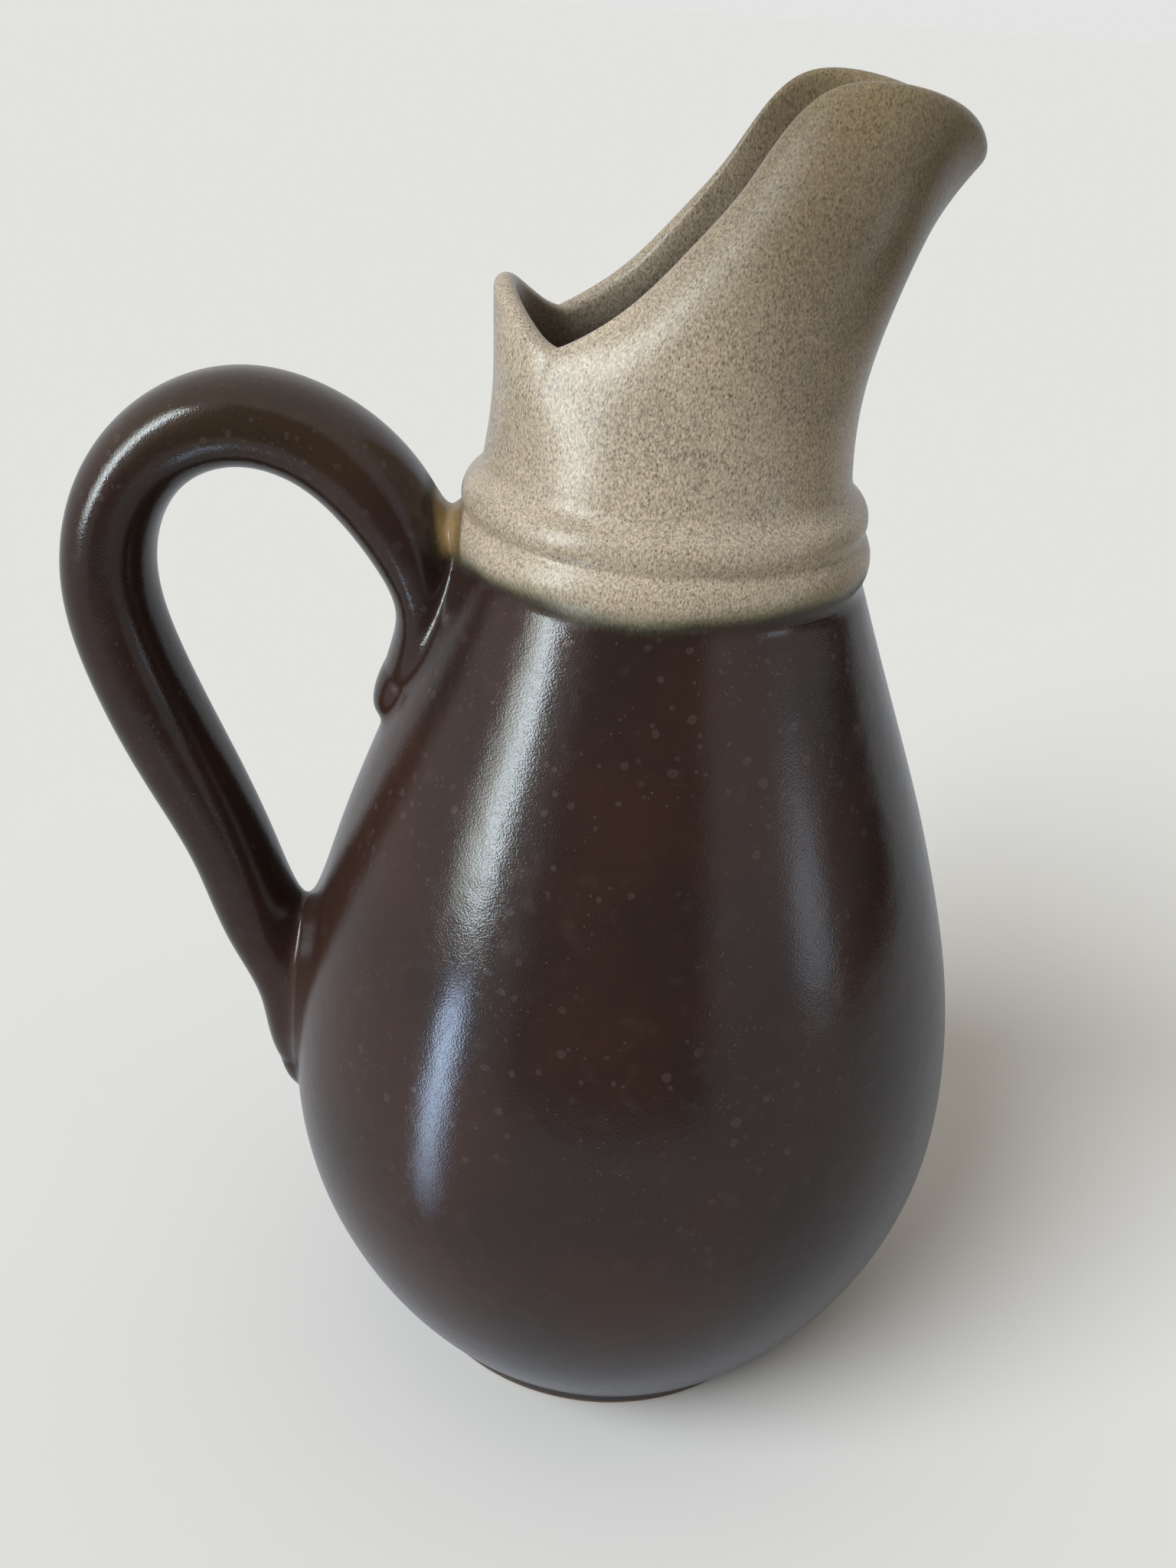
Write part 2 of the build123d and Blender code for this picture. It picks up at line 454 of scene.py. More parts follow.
@dataclass(frozen=True)
class Glazing:
    """The jug's surface: both glazes, the line between them and the bare foot, all laid by place."""

    brown: BrownGlaze = BrownGlaze()
    oatmeal: OatmealGlaze = OatmealGlaze()
    clay: BareClay = BareClay()
    line: DipLine = DipLine()
    refraction: float = 1.5
    bump_distance: float = 0.1

    def material(self, slot: Slot) -> bpy.types.Material:
        """Make the material of one slot.

        Args:
            slot: The record's slot. All slots share the glazes, so that these run on over the joints.

        Returns:
            The material.
        """
        material, bench = blank_material(slot.value)
        ground = Ground(bench.tree)
        brown = self._brown(ground)
        oatmeal = self._oatmeal(ground)
        cover, seam, green, web = self._border(ground)
        brown = replace(
            brown,
            colour=ground.blend(seam, brown.colour, self.brown.olive),
            roughness=brown.roughness + seam * self.brown.seam_roughness,
        )
        dipped = ground.blend(green * self.line.green_share, oatmeal.colour, self.oatmeal.green)
        if slot is Slot.BROWN:
            dipped = ground.blend(web, dipped, self._web(ground))
        skin = brown.under(replace(oatmeal, colour=dipped), cover)
        if slot is Slot.BARE:
            skin = skin.under(*self._bare(ground))
        relief = {"Strength": 1.0, "Distance": self.bump_distance * MM, "Height": skin.height}
        ground.surface(
            {
                "Base Color": skin.colour,
                "Roughness": skin.roughness,
                "Normal": ground.add("ShaderNodeBump", None, relief),
                "IOR": self.refraction,
                "Specular IOR Level": self.oatmeal.gloss if slot is Slot.OATMEAL else self.brown.gloss,
            }
        )
        return material

    def _border(self, ground: Ground) -> Tuple[Term, Term, Term, Term]:
        """Masks of the dip line.

        Args:
            ground: The glaze's bench.

        Returns:
            The oatmeal glaze's cover, the olive seam under it, the green edge on it, and the thin glaze on
            the handle's web.
        """
        line = self.line
        drift = ground.sway(ground.place, line.drift_per_mm, Detail.PLAIN) * line.drift
        strokes = ground.vector("MULTIPLY", ground.place, line.stroke)
        grain = ground.sway(strokes, line.fuzz_per_mm, Detail.RICH) * line.fuzz
        lift = (1 - ground.x.step(*line.lift_x)) * line.root_lift
        level = ground.z - (line.height + line.tilt_x * ground.x + line.tilt_y * ground.y + lift) + drift + grain
        stop = ground.x - (line.handle_stop + line.stop_slope * (line.stop_height - ground.z)) + grain * line.stop_fuzz
        cover = level.step(*line.cover) * stop.step(*line.stop_edge)
        seam = level.step(*line.seam) * stop.step(*line.seam_stop)
        green = 1 - level.step(*line.green_edge)
        web = 1 - ground.x.step(*line.web_x)
        return cover, seam, green, web

    def _web(self, ground: Ground) -> Term:
        """Colour of the thin glaze on the handle's web, darkened towards the collar by painted shade in the crease.

        Args:
            ground: The glaze's bench.

        Returns:
            The colour.
        """
        line = self.line
        drift = ground.sway(ground.place, line.web_grain_per_mm, Detail.RICH) * line.web_drift
        return ground.blend((ground.x + drift).step(*line.web_shade_x), self.oatmeal.ochre, self.oatmeal.ochre_shade)

    def _brown(self, ground: Ground) -> Skin:
        """Skin of the brown glaze.

        Args:
            ground: The glaze's bench.

        Returns:
            The skin.
        """
        glaze = self.brown
        cloud = ground.noise(ground.place, glaze.cloud_per_mm, Detail.RICH).step(*glaze.cloud)
        mottle = ground.noise(ground.place, glaze.mottle_per_mm, Detail.RICH)
        tone = cloud * glaze.cloud_share + mottle * (1 - glaze.cloud_share)
        colour = ground.blend(tone, glaze.cool, glaze.warm)
        # Thinner amber glaze and painted top sheen on the handle's upper loop.
        crest = ground.z.step(*glaze.amber_sheen_z) * (1 - ground.x.step(*glaze.amber_sheen_x))
        colour = ground.blend(crest * (mottle * glaze.amber_sheen_mottle + glaze.amber_sheen_share), colour, glaze.amber_sheen)
        warp = ground.scaled(ground.noise(ground.place, glaze.warp_per_mm, Detail.PLAIN, "Color"), glaze.warp)
        distance = ground.cells(ground.vector("ADD", ground.place, warp), glaze.blisters_per_mm)
        larger, picked, _ = ground.channels(distance.other("Color"))
        ratio = distance / (larger * larger * glaze.blister_spread + glaze.least_blister)
        often = ground.z.step(*glaze.often_z) * (1 - glaze.least_often) + glaze.least_often
        patch = ground.noise(ground.place, glaze.blister_patches_per_mm, Detail.PLAIN).step(*glaze.blister_patch)
        dot = (1 - ratio.step(*glaze.dot)) * (picked.step(*glaze.blister_picked) * patch * often)
        ring = ratio.step(*glaze.ring) * dot
        flecks = 1 - ground.cells(ground.place, glaze.flecks_per_mm).step(*glaze.fleck)
        patch = ground.noise(ground.place, glaze.fleck_patches_per_mm, Detail.PLAIN).step(*glaze.fleck_patch)
        flecks = flecks * patch * often
        film = ground.noise(ground.place, glaze.film_per_mm, Detail.SOFT).step(*glaze.film)
        marks = dot * glaze.dot_share + ring * glaze.ring_share
        marks = marks + flecks * glaze.fleck_share + film * glaze.film_share
        uneven = (mottle - 0.5) * glaze.mottle_roughness + dot * glaze.dot_roughness + film * glaze.film_roughness
        peel = ground.noise(ground.place, glaze.peel_per_mm, Detail.SOFT) * glaze.peel
        wave = ground.noise(ground.place, glaze.wave_per_mm, Detail.PLAIN) * glaze.wave
        return Skin(
            ground.blend(marks, colour, glaze.blister),
            uneven + glaze.roughness,
            peel + wave + ring * glaze.ring_height,
        )

    def _oatmeal(self, ground: Ground) -> Skin:
        """Skin of the oatmeal glaze.

        Args:
            ground: The glaze's bench.

        Returns:
            The skin.
        """
        glaze = self.oatmeal
        cloud = ground.noise(ground.place, glaze.cloud_per_mm, Detail.RICH).step(*glaze.cloud)
        colour = ground.blend(cloud, glaze.light, glaze.grey)
        # Darker lip colour, together with painted shade on the neck's right side.
        deep = ground.z.step(*glaze.deep_and_shade_z) * ground.x.step(*glaze.deep_and_shade_x) * glaze.deep_and_shade_share
        colour = ground.blend(deep, colour, glaze.deep)
        olive = ground.z.step(*glaze.olive_z) * ground.x.step(*glaze.olive_x) * glaze.olive_share
        colour = ground.blend(olive, colour, glaze.olive)
        upright = ground.vector("MULTIPLY", ground.place, glaze.stretch)
        density = ground.sway(ground.place, glaze.density_per_mm, Detail.SOFT) * glaze.density
        speckle = {
            "Vector": upright,
            "Scale": glaze.fine_per_mm,
            "Detail": Detail.RICH,
            "Roughness": glaze.fine_contrast,
        }
        fine = (ground.add("ShaderNodeTexNoise", None, speckle) + density).step(*glaze.fine)
        shifted = ground.vector("ADD", upright, glaze.coarse_shift)
        coarse = (ground.noise(shifted, glaze.coarse_per_mm, Detail.SOFT) + density).step(*glaze.coarse)
        distance = ground.cells(upright, glaze.specks_per_mm)
        picked, rusty, larger = ground.channels(distance.other("Color"))
        specks = 1 - (distance / (larger * glaze.speck_spread + glaze.least_speck)).step(*glaze.speck_edge)
        # Painted shade, darker deeper inside the throat.
        throat = self._throat(ground) * glaze.throat_share
        for cover, mark in (
            (fine * glaze.fine_share, glaze.speck),
            (coarse * glaze.coarse_share, glaze.speck),
            (specks * picked.step(*glaze.speck_picked) * glaze.speck_share, glaze.speck),
            (specks * rusty.step(*glaze.rust_picked) * glaze.rust_share, glaze.rust),
            (throat, glaze.throat_shade),
        ):
            colour = ground.blend(cover, colour, mark)
        return Skin(
            colour,
            coarse * glaze.coarse_roughness + cloud * glaze.cloud_roughness + glaze.roughness,
            fine * -glaze.fine_depth + ground.noise(ground.place, glaze.wave_per_mm, Detail.SOFT) * glaze.wave,
        )

    def _throat(self, ground: Ground) -> Term:
        """Where painted shade darkens the inside: in the collar's bore and low inside the spout.

        Args:
            ground: The glaze's bench.

        Returns:
            The mask.
        """
        glaze = self.oatmeal
        radius = (ground.x * ground.x + ground.y * ground.y) ** 0.5
        bore = (1 - radius.step(*glaze.bore_radius)) * (1 - ground.z.step(*glaze.bore_z))
        inside = ground.add("ShaderNodeAttribute", {"attribute_name": INSIDE}, None, "Fac")
        return inside.apply("MAXIMUM", bore) * (1 - ground.z.step(*glaze.throat_z))

    def _bare(self, ground: Ground) -> Tuple[Skin, Term]:
        """Clay at the bottom of the foot, from which the glaze is wiped.

        Args:
            ground: The glaze's bench.

        Returns:
            The clay's skin, and where it shows.
        """
        clay = self.clay
        grit = ground.noise(ground.place, clay.grit_per_mm, Detail.GRITTY)
        wiped = 1 - (ground.z + (grit - 0.5) * clay.line_drift).step(*clay.glaze_line_z)
        earth = ground.blend(grit.step(*clay.tone), clay.dark, clay.light)
        return Skin(earth, clay.roughness, grit * clay.grit_height), wiped


def bezier(points: Sequence[Pair], count: int) -> np.ndarray:
    """Points along a cubic Bezier curve.

    Args:
        points: The four control points.
        count: How many points to give, both ends among them.

    Returns:
        An array of count rows.
    """
    share = np.linspace(0.0, 1.0, count)[:, None]
    first, second, third, last = (np.array(point, float) for point in points)
    rest = 1.0 - share
    return rest**3 * first + 3 * rest**2 * share * second + 3 * rest * share**2 * third + share**3 * last


def arc(start: Pair, middle: Pair, end: Pair, count: int) -> np.ndarray:
    """Points along the circle's arc through three points.

    Args:
        start: First point.
        middle: A point between the ends.
        end: Last point.
        count: How many points to give, both ends among them.

    Returns:
        An array of count rows.
    """
    first, second, third = (np.array(point, float) for point in (start, middle, end))
    rows = 2 * np.array([second - first, third - first])
    sums = np.array([second @ second - first @ first, third @ third - first @ first])
    centre = np.linalg.solve(rows, sums)
    radius = np.linalg.norm(first - centre)
    turns = np.unwrap([math.atan2(*(point - centre)[::-1]) for point in (first, second, third)])
    angles = np.linspace(turns[0], turns[2], count)
    return centre + radius * np.column_stack([np.cos(angles), np.sin(angles)])


def even(points: np.ndarray, spacing: float) -> np.ndarray:
    """The same line with its points at even distances.

    Args:
        points: Points along the line.
        spacing: Distance between the new points.

    Returns:
        The new points.
    """
    lengths = np.concatenate([[0.0], np.cumsum(np.linalg.norm(np.diff(points, axis=0), axis=1))])
    count = max(2, int(round(lengths[-1] / spacing)) + 1)
    at = np.linspace(0.0, lengths[-1], count)
    return np.column_stack([np.interp(at, lengths, points[:, axis]) for axis in range(points.shape[1])])


def straight(start: Pair, end: Pair, spacing: float) -> np.ndarray:
    """Points at even distances along a straight line, both ends among them."""
    return even(np.array([start, end]), spacing)


def spline(knots: Sequence[float], values: np.ndarray, at: np.ndarray) -> np.ndarray:
    """A natural cubic spline.

    Args:
        knots: Rising parameter values.
        values: A row of values for each knot.
        at: Parameter values to work out.

    Returns:
        A row of values for each of these.
    """
    knots = np.asarray(knots, float)
    values = np.asarray(values, float)
    gaps = np.diff(knots)
    system = np.eye(len(knots))
    right = np.zeros_like(values)
    for k in range(1, len(knots) - 1):
        system[k, k - 1 : k + 2] = gaps[k - 1], 2 * (gaps[k - 1] + gaps[k]), gaps[k]
        right[k] = 6 * ((values[k + 1] - values[k]) / gaps[k] - (values[k] - values[k - 1]) / gaps[k - 1])
    bends = np.linalg.solve(system, right)
    span = np.clip(np.searchsorted(knots, at) - 1, 0, len(gaps) - 1)
    gap = gaps[span][:, None]
    after = (np.asarray(at) - knots[span])[:, None]
    before = gap - after
    return (
        bends[span] * before**3 / (6 * gap)
        + bends[span + 1] * after**3 / (6 * gap)
        + (values[span] / gap - bends[span] * gap / 6) * before
        + (values[span + 1] / gap - bends[span + 1] * gap / 6) * after
    )


def placed(name: str, data: bpy.types.ID) -> bpy.types.Object:
    """A new object in the scene, at the origin.

    Args:
        name: Its name.
        data: Its mesh, lamp or camera.

    Returns:
        The object.
    """
    thing = bpy.data.objects.new(name, data)
    bpy.context.scene.collection.objects.link(thing)
    return thing


def made_mesh(name: str, points: np.ndarray, faces: Sequence[Sequence[int]] = ()) -> bpy.types.Mesh:
    """A mesh of given faces, or of bare vertices that a node tree reads.

    Args:
        name: Name of the mesh.
        points: Places in millimetres.
        faces: Numbers of the points of each face.

    Returns:
        The mesh, in metres.
    """
    mesh = bpy.data.meshes.new(name)
    mesh.from_pydata((points * MM).tolist(), [], faces)
    return mesh


def places(mesh: bpy.types.Mesh) -> np.ndarray:
    """Places of a mesh's vertices.

    Args:
        mesh: The mesh.

    Returns:
        Rows in millimetres.
    """
    flat = np.empty(len(mesh.vertices) * 3)
    mesh.vertices.foreach_get("co", flat)
    return flat.reshape(-1, 3) / MM


class Shaper:
    """A Geometry Nodes tree with named inputs whose result is baked to a plain mesh."""

    name = "shaper"
    sockets: Tuple[Tuple[str, str], ...] = ()

    def __init__(self) -> None:
        """Build the tree."""
        self.tree = bpy.data.node_groups.new(self.name, "GeometryNodeTree")
        face = self.tree.interface
        face.new_socket("Geometry", in_out="OUTPUT", socket_type="NodeSocketGeometry")
        for label, kind in (("Start", "NodeSocketGeometry"), *self.sockets, ("Material", "NodeSocketMaterial")):
            face.new_socket(label, in_out="INPUT", socket_type=kind)
        bench = Bench(self.tree)
        given = bench.add("NodeGroupInput", output="Start")
        shape = bench.add("GeometryNodeRealizeInstances", None, {0: self.shape(bench, given)})
        shape = bench.add("GeometryNodeSetShadeSmooth", None, {"Geometry": shape, "Shade Smooth": True})
        shape = bench.add("GeometryNodeSetMaterial", None, {"Geometry": shape, "Material": given.other("Material")})
        bench.add("NodeGroupOutput", None, {0: shape})

    def shape(self, bench: Bench, given: Term) -> Term:
        """The nodes between the start and the result; each kind of shaper has its own."""
        raise NotImplementedError

    @staticmethod
    def count(bench: Bench, given: Term) -> Term:
        """Number of the start's points."""
        return bench.add("GeometryNodeAttributeDomainSize", {"component": "MESH"}, {0: given}, "Point Count")

    @staticmethod
    def grid(bench: Bench, rows: Value, columns: Value) -> Term:
        """A grid of points whose index runs along each row in turn."""
        return bench.add("GeometryNodeMeshGrid", None, {"Vertices X": rows, "Vertices Y": columns})

    @staticmethod
    def sample(bench: Bench, given: Term, value: Term, index: Term) -> Term:
        """A vector of one of the start's points."""
        inputs = {"Geometry": given, "Value": value, "Index": index}
        return bench.add("GeometryNodeSampleIndex", {"data_type": "FLOAT_VECTOR"}, inputs)

    def make(self, start: bpy.types.Mesh, values: Mapping[str, object]) -> bpy.types.Mesh:
        """Run the tree.

        Args:
            start: The mesh that the tree reads.
            values: The named inputs.

        Returns:
            The result as a plain mesh.
        """
        holder = placed(start.name, start)
        modifier = holder.modifiers.new(self.name, "NODES")
        modifier.node_group = self.tree
        inputs = {item.name: item.identifier for item in self.tree.interface.items_tree if item.in_out == "INPUT"}
        for label, value in values.items():
            modifier[inputs[label]] = value
        graph = bpy.context.evaluated_depsgraph_get()
        made = bpy.data.meshes.new_from_object(holder.evaluated_get(graph))
        holder.modifiers.remove(modifier)
        bpy.data.objects.remove(holder)
        return made


class Wheel(Shaper):
    """Turns an outline, given as radius and height, about the jug's axis."""

    name = "turned_form"
    sockets = (("Segments", "NodeSocketInt"),)
    merged = 0.001

    def shape(self, bench: Bench, given: Term) -> Term:
        """Lay a grid of outline points and segments round the axis, and close its seam and poles.

        Args:
            bench: The tree.
            given: The start, on the node of the named inputs.

        Returns:
            The shape.
        """
        segments = given.other("Segments")
        points = self.count(bench, given)
        grid = self.grid(bench, segments + 1, points)
        index = bench.add("GeometryNodeInputIndex")
        turn = (index / points).floor() / segments * math.tau
        outline = self.sample(bench, given, bench.add("GeometryNodeInputPosition"), index % points)
        radius, _, height = bench.axes(outline)
        around = {0: radius * turn.apply("COSINE"), 1: radius * turn.apply("SINE"), 2: height}
        place = bench.add("ShaderNodeCombineXYZ", None, around)
        turned = bench.add("GeometryNodeSetPosition", None, {"Geometry": grid, "Position": place})
        return bench.add("GeometryNodeMergeByDistance", None, {"Geometry": turned, "Distance": self.merged * MM})


class Puller(Shaper):
    """Sweeps a soft oval along the strap's line, whose points carry their half sizes and the way they face."""

    name = "pulled_strap"
    sockets = (("Around", "NodeSocketInt"), ("Roundness", "NodeSocketFloat"))

    def shape(self, bench: Bench, given: Term) -> Term:
        """Lay a grid of rings and of points around each ring along the line.

        Args:
            bench: The tree.
            given: The start, on the node of the named inputs.

        Returns:
            The shape.
        """
        around = given.other("Around")
        grid = self.grid(bench, self.count(bench, given), around + 1)
        index = bench.add("GeometryNodeInputIndex")
        ring = (index / (around + 1)).floor()
        turn = (index % (around + 1)) / around * math.tau
        centre = self.sample(bench, given, bench.add("GeometryNodeInputPosition"), ring)
        facing, halves = (self.sample(bench, given, self._named(bench, name), ring) for name in ("facing", "halves"))
        half_width, half_depth, _ = bench.axes(halves)
        across = self._soft(turn.apply("COSINE"), given) * half_width
        through = self._soft(turn.apply("SINE"), given) * half_depth
        sideways = bench.add("ShaderNodeCombineXYZ", None, {1: across})
        place = bench.vector("ADD", centre, bench.vector("ADD", sideways, bench.scaled(facing, through)))
        return bench.add("GeometryNodeSetPosition", None, {"Geometry": grid, "Position": place})

    @staticmethod
    def _named(bench: Bench, name: str) -> Term:
        """A vector kept on the line's points."""
        return bench.add("GeometryNodeInputNamedAttribute", {"data_type": "FLOAT_VECTOR"}, {"Name": name})

    @staticmethod
    def _soft(wave: Term, given: Term) -> Term:
        """A sine or cosine made fuller, as on an oval with flattened sides."""
        return wave.apply("ABSOLUTE") ** given.other("Roundness") * wave.apply("SIGN")


class Hand(Shaper):
    """Gives a fired form its slight unevenness, the same at the same place on every piece."""

    name = "hand_unevenness"
    sockets = (("Depth", "NodeSocketFloat"), ("Waves per Metre", "NodeSocketFloat"), ("Seed", "NodeSocketFloat"))
    foot_z = (4.0, 40.0)

    def shape(self, bench: Bench, given: Term) -> Term:
        """Shift each point by a slow noise, and not up or down near the foot.

        Args:
            bench: The tree.
            given: The start, on the node of the named inputs.

        Returns:
            The shape.
        """
        place = bench.add("GeometryNodeInputPosition")
        waves = {
            "Vector": place,
            "W": given.other("Seed"),
            "Scale": given.other("Waves per Metre"),
            "Detail": Detail.PLAIN,
        }
        noise = bench.add("ShaderNodeTexNoise", {"noise_dimensions": "4D"}, waves, "Color")
        shift = bench.scaled(bench.vector("SUBTRACT", noise, (0.5, 0.5, 0.5)), given.other("Depth"))
        _, _, height = bench.axes(place)
        lift = height.step(*(z * MM for z in self.foot_z))
        hold = bench.add("ShaderNodeCombineXYZ", None, {0: 1.0, 1: 1.0, 2: lift})
        shift = bench.vector("MULTIPLY", shift, hold)
        return bench.add("GeometryNodeSetPosition", None, {"Geometry": given, "Offset": shift})


@dataclass
class Workshop:
    """What every piece is made with: the node trees and the glazes."""

    segments: int = 288
    unevenness: float = 0.5
    waves_per_metre: float = 26.0
    seed: float = 4.0
    sharp_angle: float = 50.0
    glazing: Glazing = field(default_factory=Glazing)

    def __post_init__(self) -> None:
        """Build the trees and the materials once."""
        self.wheel = Wheel()
        self.puller = Puller()
        self.hand = Hand()
        self.materials = {slot: self.glazing.material(slot) for slot in Slot}

    def turn(self, name: str, outline: np.ndarray, slot: Slot) -> bpy.types.Mesh:
        """Turn an outline on the wheel.

        Args:
            name: Name of the piece.
            outline: Rows of radius and height in millimetres, counter-clockwise in the section.
            slot: Slot of its finish.

        Returns:
            The turned mesh.
        """
        points = np.column_stack([outline[:, 0], np.zeros(len(outline)), outline[:, 1]])
        values = {"Segments": self.segments, "Material": self.materials[slot]}
        return self.wheel.make(made_mesh(name, points), values)

    def finish(self, name: str, mesh: bpy.types.Mesh, slot: Slot, nodes: Sequence[str]) -> bpy.types.Object:
        """Make a piece of a mesh and tie it to the frame.

        Args:
            name: Name of the piece.
            mesh: Its mesh, in place.
            slot: Slot of its finish.
            nodes: The frame's nodes that it stands for.

        Returns:
            The piece.
        """
        values = {
            "Depth": self.unevenness * MM,
            "Waves per Metre": self.waves_per_metre,
            "Seed": self.seed,
            "Material": self.materials[slot],
        }
        made = self.hand.make(mesh, values)
        if self._volume(made) < 0:
            made.flip_normals()
        made.name = name
        made.set_sharp_from_angle(angle=math.radians(self.sharp_angle))
        piece = placed(name, made)
        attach(piece, ROOT)
        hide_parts(*nodes)
        return piece

    @staticmethod
    def _volume(mesh: bpy.types.Mesh) -> float:
        """Signed volume of a closed mesh.

        Args:
            mesh: The mesh.

        Returns:
            Cubic millimetres, negative where it is inside out.
        """
        mesh.calc_loop_triangles()
        corners = np.empty(len(mesh.loop_triangles) * 3, int)
        mesh.loop_triangles.foreach_get("vertices", corners)
        a, b, c = places(mesh)[corners].reshape(-1, 3, 3).transpose(1, 0, 2)
        return float(np.einsum("ij,ij->i", a, np.cross(b, c)).sum() / 6)


class Turned:
    """A piece that is turned on the wheel from one outline."""

    name = ""
    node = ""
    slot = Slot.BROWN

    def outline(self) -> np.ndarray:
        """Rows of radius and height, counter-clockwise in the section; each piece has its own."""
        raise NotImplementedError

    def build(self, shop: Workshop) -> bpy.types.Object:
        """Turn the piece and tie it to the frame.

        Args:
            shop: What the piece is made with.

        Returns:
            The piece.
        """
        mesh = shop.turn(self.name, self.outline(), self.slot)
        return shop.finish(self.name, mesh, self.slot, [self.node])


def away(point: Pair, angle: float, length: float) -> Pair:
    """A point at a distance from another one, at an angle in degrees to the axis."""
    turn = math.radians(angle)
    return (point[0] + length * math.sin(turn), point[1] + length * math.cos(turn))


@dataclass
class VesselForm:
    """Sizes and outlines that body, collar, spout and handle share."""

    seat_radius: float = 38.7
    seat_height: float = 5.0
    belly_radius: float = 58.0
    belly_height: float = 55.0
    top_radius: float = 31.2
    collar_seat: float = 147.0
    base_lean: float = 39.0
    shoulder_lean: float = -20.0
    base_pull: float = 16.6
    belly_pull_down: float = 21.6
    belly_pull_up: float = 30.0
    shoulder_pull: float = 30.0
    wall: float = 5.0
    neck_radius: float = 27.7
    neck_wall: float = 4.5
    neck_seat: float = 163.0
    lower_rib: Pair = (0.9, 3.5)
    groove: Pair = (-0.75, 7.2)
    upper_rib: Pair = (-0.25, 9.7)
    hollow_width: float = 1.5
    hollow_height: float = 3.4
    hollow_turn: float = 1.4
    hollow_lean: float = 0.25
    neck_lean: float = 0.14
    softening: float = 0.42
    soft_below_seat: float = 12.0
    soft_over: float = 6.0
    seat_fillet: float = 1.5
    spacing: float = 0.25
    lower_points: int = 200
    upper_points: int = 300
    rib_points: int = 40
    hollow_points: int = 30

    def lower(self) -> List[Pair]:
        """Control points of the outline from the foot's seat to the belly.

        Returns:
            The four points.
        """
        base = (self.seat_radius, self.seat_height)
        belly = (self.belly_radius, self.belly_height)
        pull = (self.belly_radius, self.belly_height - self.belly_pull_down)
        return [base, away(base, self.base_lean, self.base_pull), pull, belly]

    def upper(self) -> List[Pair]:
        """Control points of the outline from the belly to the collar's seat.

        Returns:
            The four points.
        """
        belly = (self.belly_radius, self.belly_height)
        top = (self.top_radius, self.collar_seat)
        pull = (self.belly_radius, self.belly_height + self.belly_pull_up)
        return [belly, pull, away(top, self.shoulder_lean, -self.shoulder_pull), top]

    def outside(self) -> np.ndarray:
        """Outer outline from the foot's seat up to the neck's, with the collar's ribs softened.

        Returns:
            Rows of radius and height, evenly spaced.
        """
        ribs = [(self.top_radius, self.collar_seat)]
        for out, up in (self.lower_rib, self.groove, self.upper_rib):
            ribs.append((self.top_radius + out, self.collar_seat + up))
        ribs.append((self.neck_radius + self.hollow_width, self.neck_seat - self.hollow_height))
        hollow = [
            ribs[4],
            (self.neck_radius + self.hollow_lean, self.neck_seat - self.hollow_height + self.hollow_turn),
            (self.neck_radius + self.neck_lean, self.neck_seat - self.hollow_turn),
            (self.neck_radius, self.neck_seat),
        ]
        runs = [
            bezier(self.lower(), self.lower_points),
            bezier(self.upper(), self.upper_points)[1:],
            arc(*ribs[0:3], self.rib_points)[1:],
            arc(*ribs[2:5], self.rib_points)[1:],
            bezier(hollow, self.hollow_points)[1:],
        ]
        return self._softened(self._filleted(even(np.vstack(runs), self.spacing)))

    def _filleted(self, line: np.ndarray) -> np.ndarray:
        """Round the hollow corner in which the collar sits on the body.

        Args:
            line: The evenly spaced outline.

        Returns:
            The outline with the rounded corner.
        """
        corner = int(np.argmin(np.hypot(line[:, 0] - self.top_radius, line[:, 1] - self.collar_seat)))
        reach = int(round(self.seat_fillet / self.spacing))
        first, last = line[corner - reach], line[corner + reach]
        # Pulls two thirds of the way to the corner make the curve a parabola's arc.
        pulls = [first + (line[corner] - first) * 2 / 3, last + (line[corner] - last) * 2 / 3]
        rounded = line.copy()
        rounded[corner - reach : corner + reach + 1] = bezier([first, *pulls, last], 2 * reach + 1)
        return rounded

    def _softened(self, line: np.ndarray) -> np.ndarray:
        """Round the corners between body, ribs and neck.

        Args:
            line: The evenly spaced outline.

        Returns:
            The outline, averaged along itself from the shoulder upwards, with its ends kept.
        """
        # The weights follow a bell curve, which is cut off at three times its width.
        reach = int(round(3 * self.softening / self.spacing))
        weights = np.exp(-0.5 * (np.arange(-reach, reach + 1) * self.spacing / self.softening) ** 2)
        weights /= weights.sum()
        padded = np.vstack([np.repeat(line[:1], reach, axis=0), line, 2 * line[-1] - line[-2 : -reach - 2 : -1]])
        smooth = np.column_stack([np.convolve(padded[:, axis], weights, "valid") for axis in (0, 1)])
        above = line[:, 1] - (self.collar_seat - self.soft_below_seat)
        share = np.clip(above / self.soft_over, 0, 1)[:, None]
        return line + share * (smooth - line)

    def split(self) -> Tuple[np.ndarray, np.ndarray]:
        """Part the outer outline at the collar's seat.

        Returns:
            The outlines of the body and of the collar.
        """
        line = self.outside()
        seam = int(np.argmin(np.abs(line[:, 1] - self.collar_seat)))
        return line[: seam + 1], line[seam:]


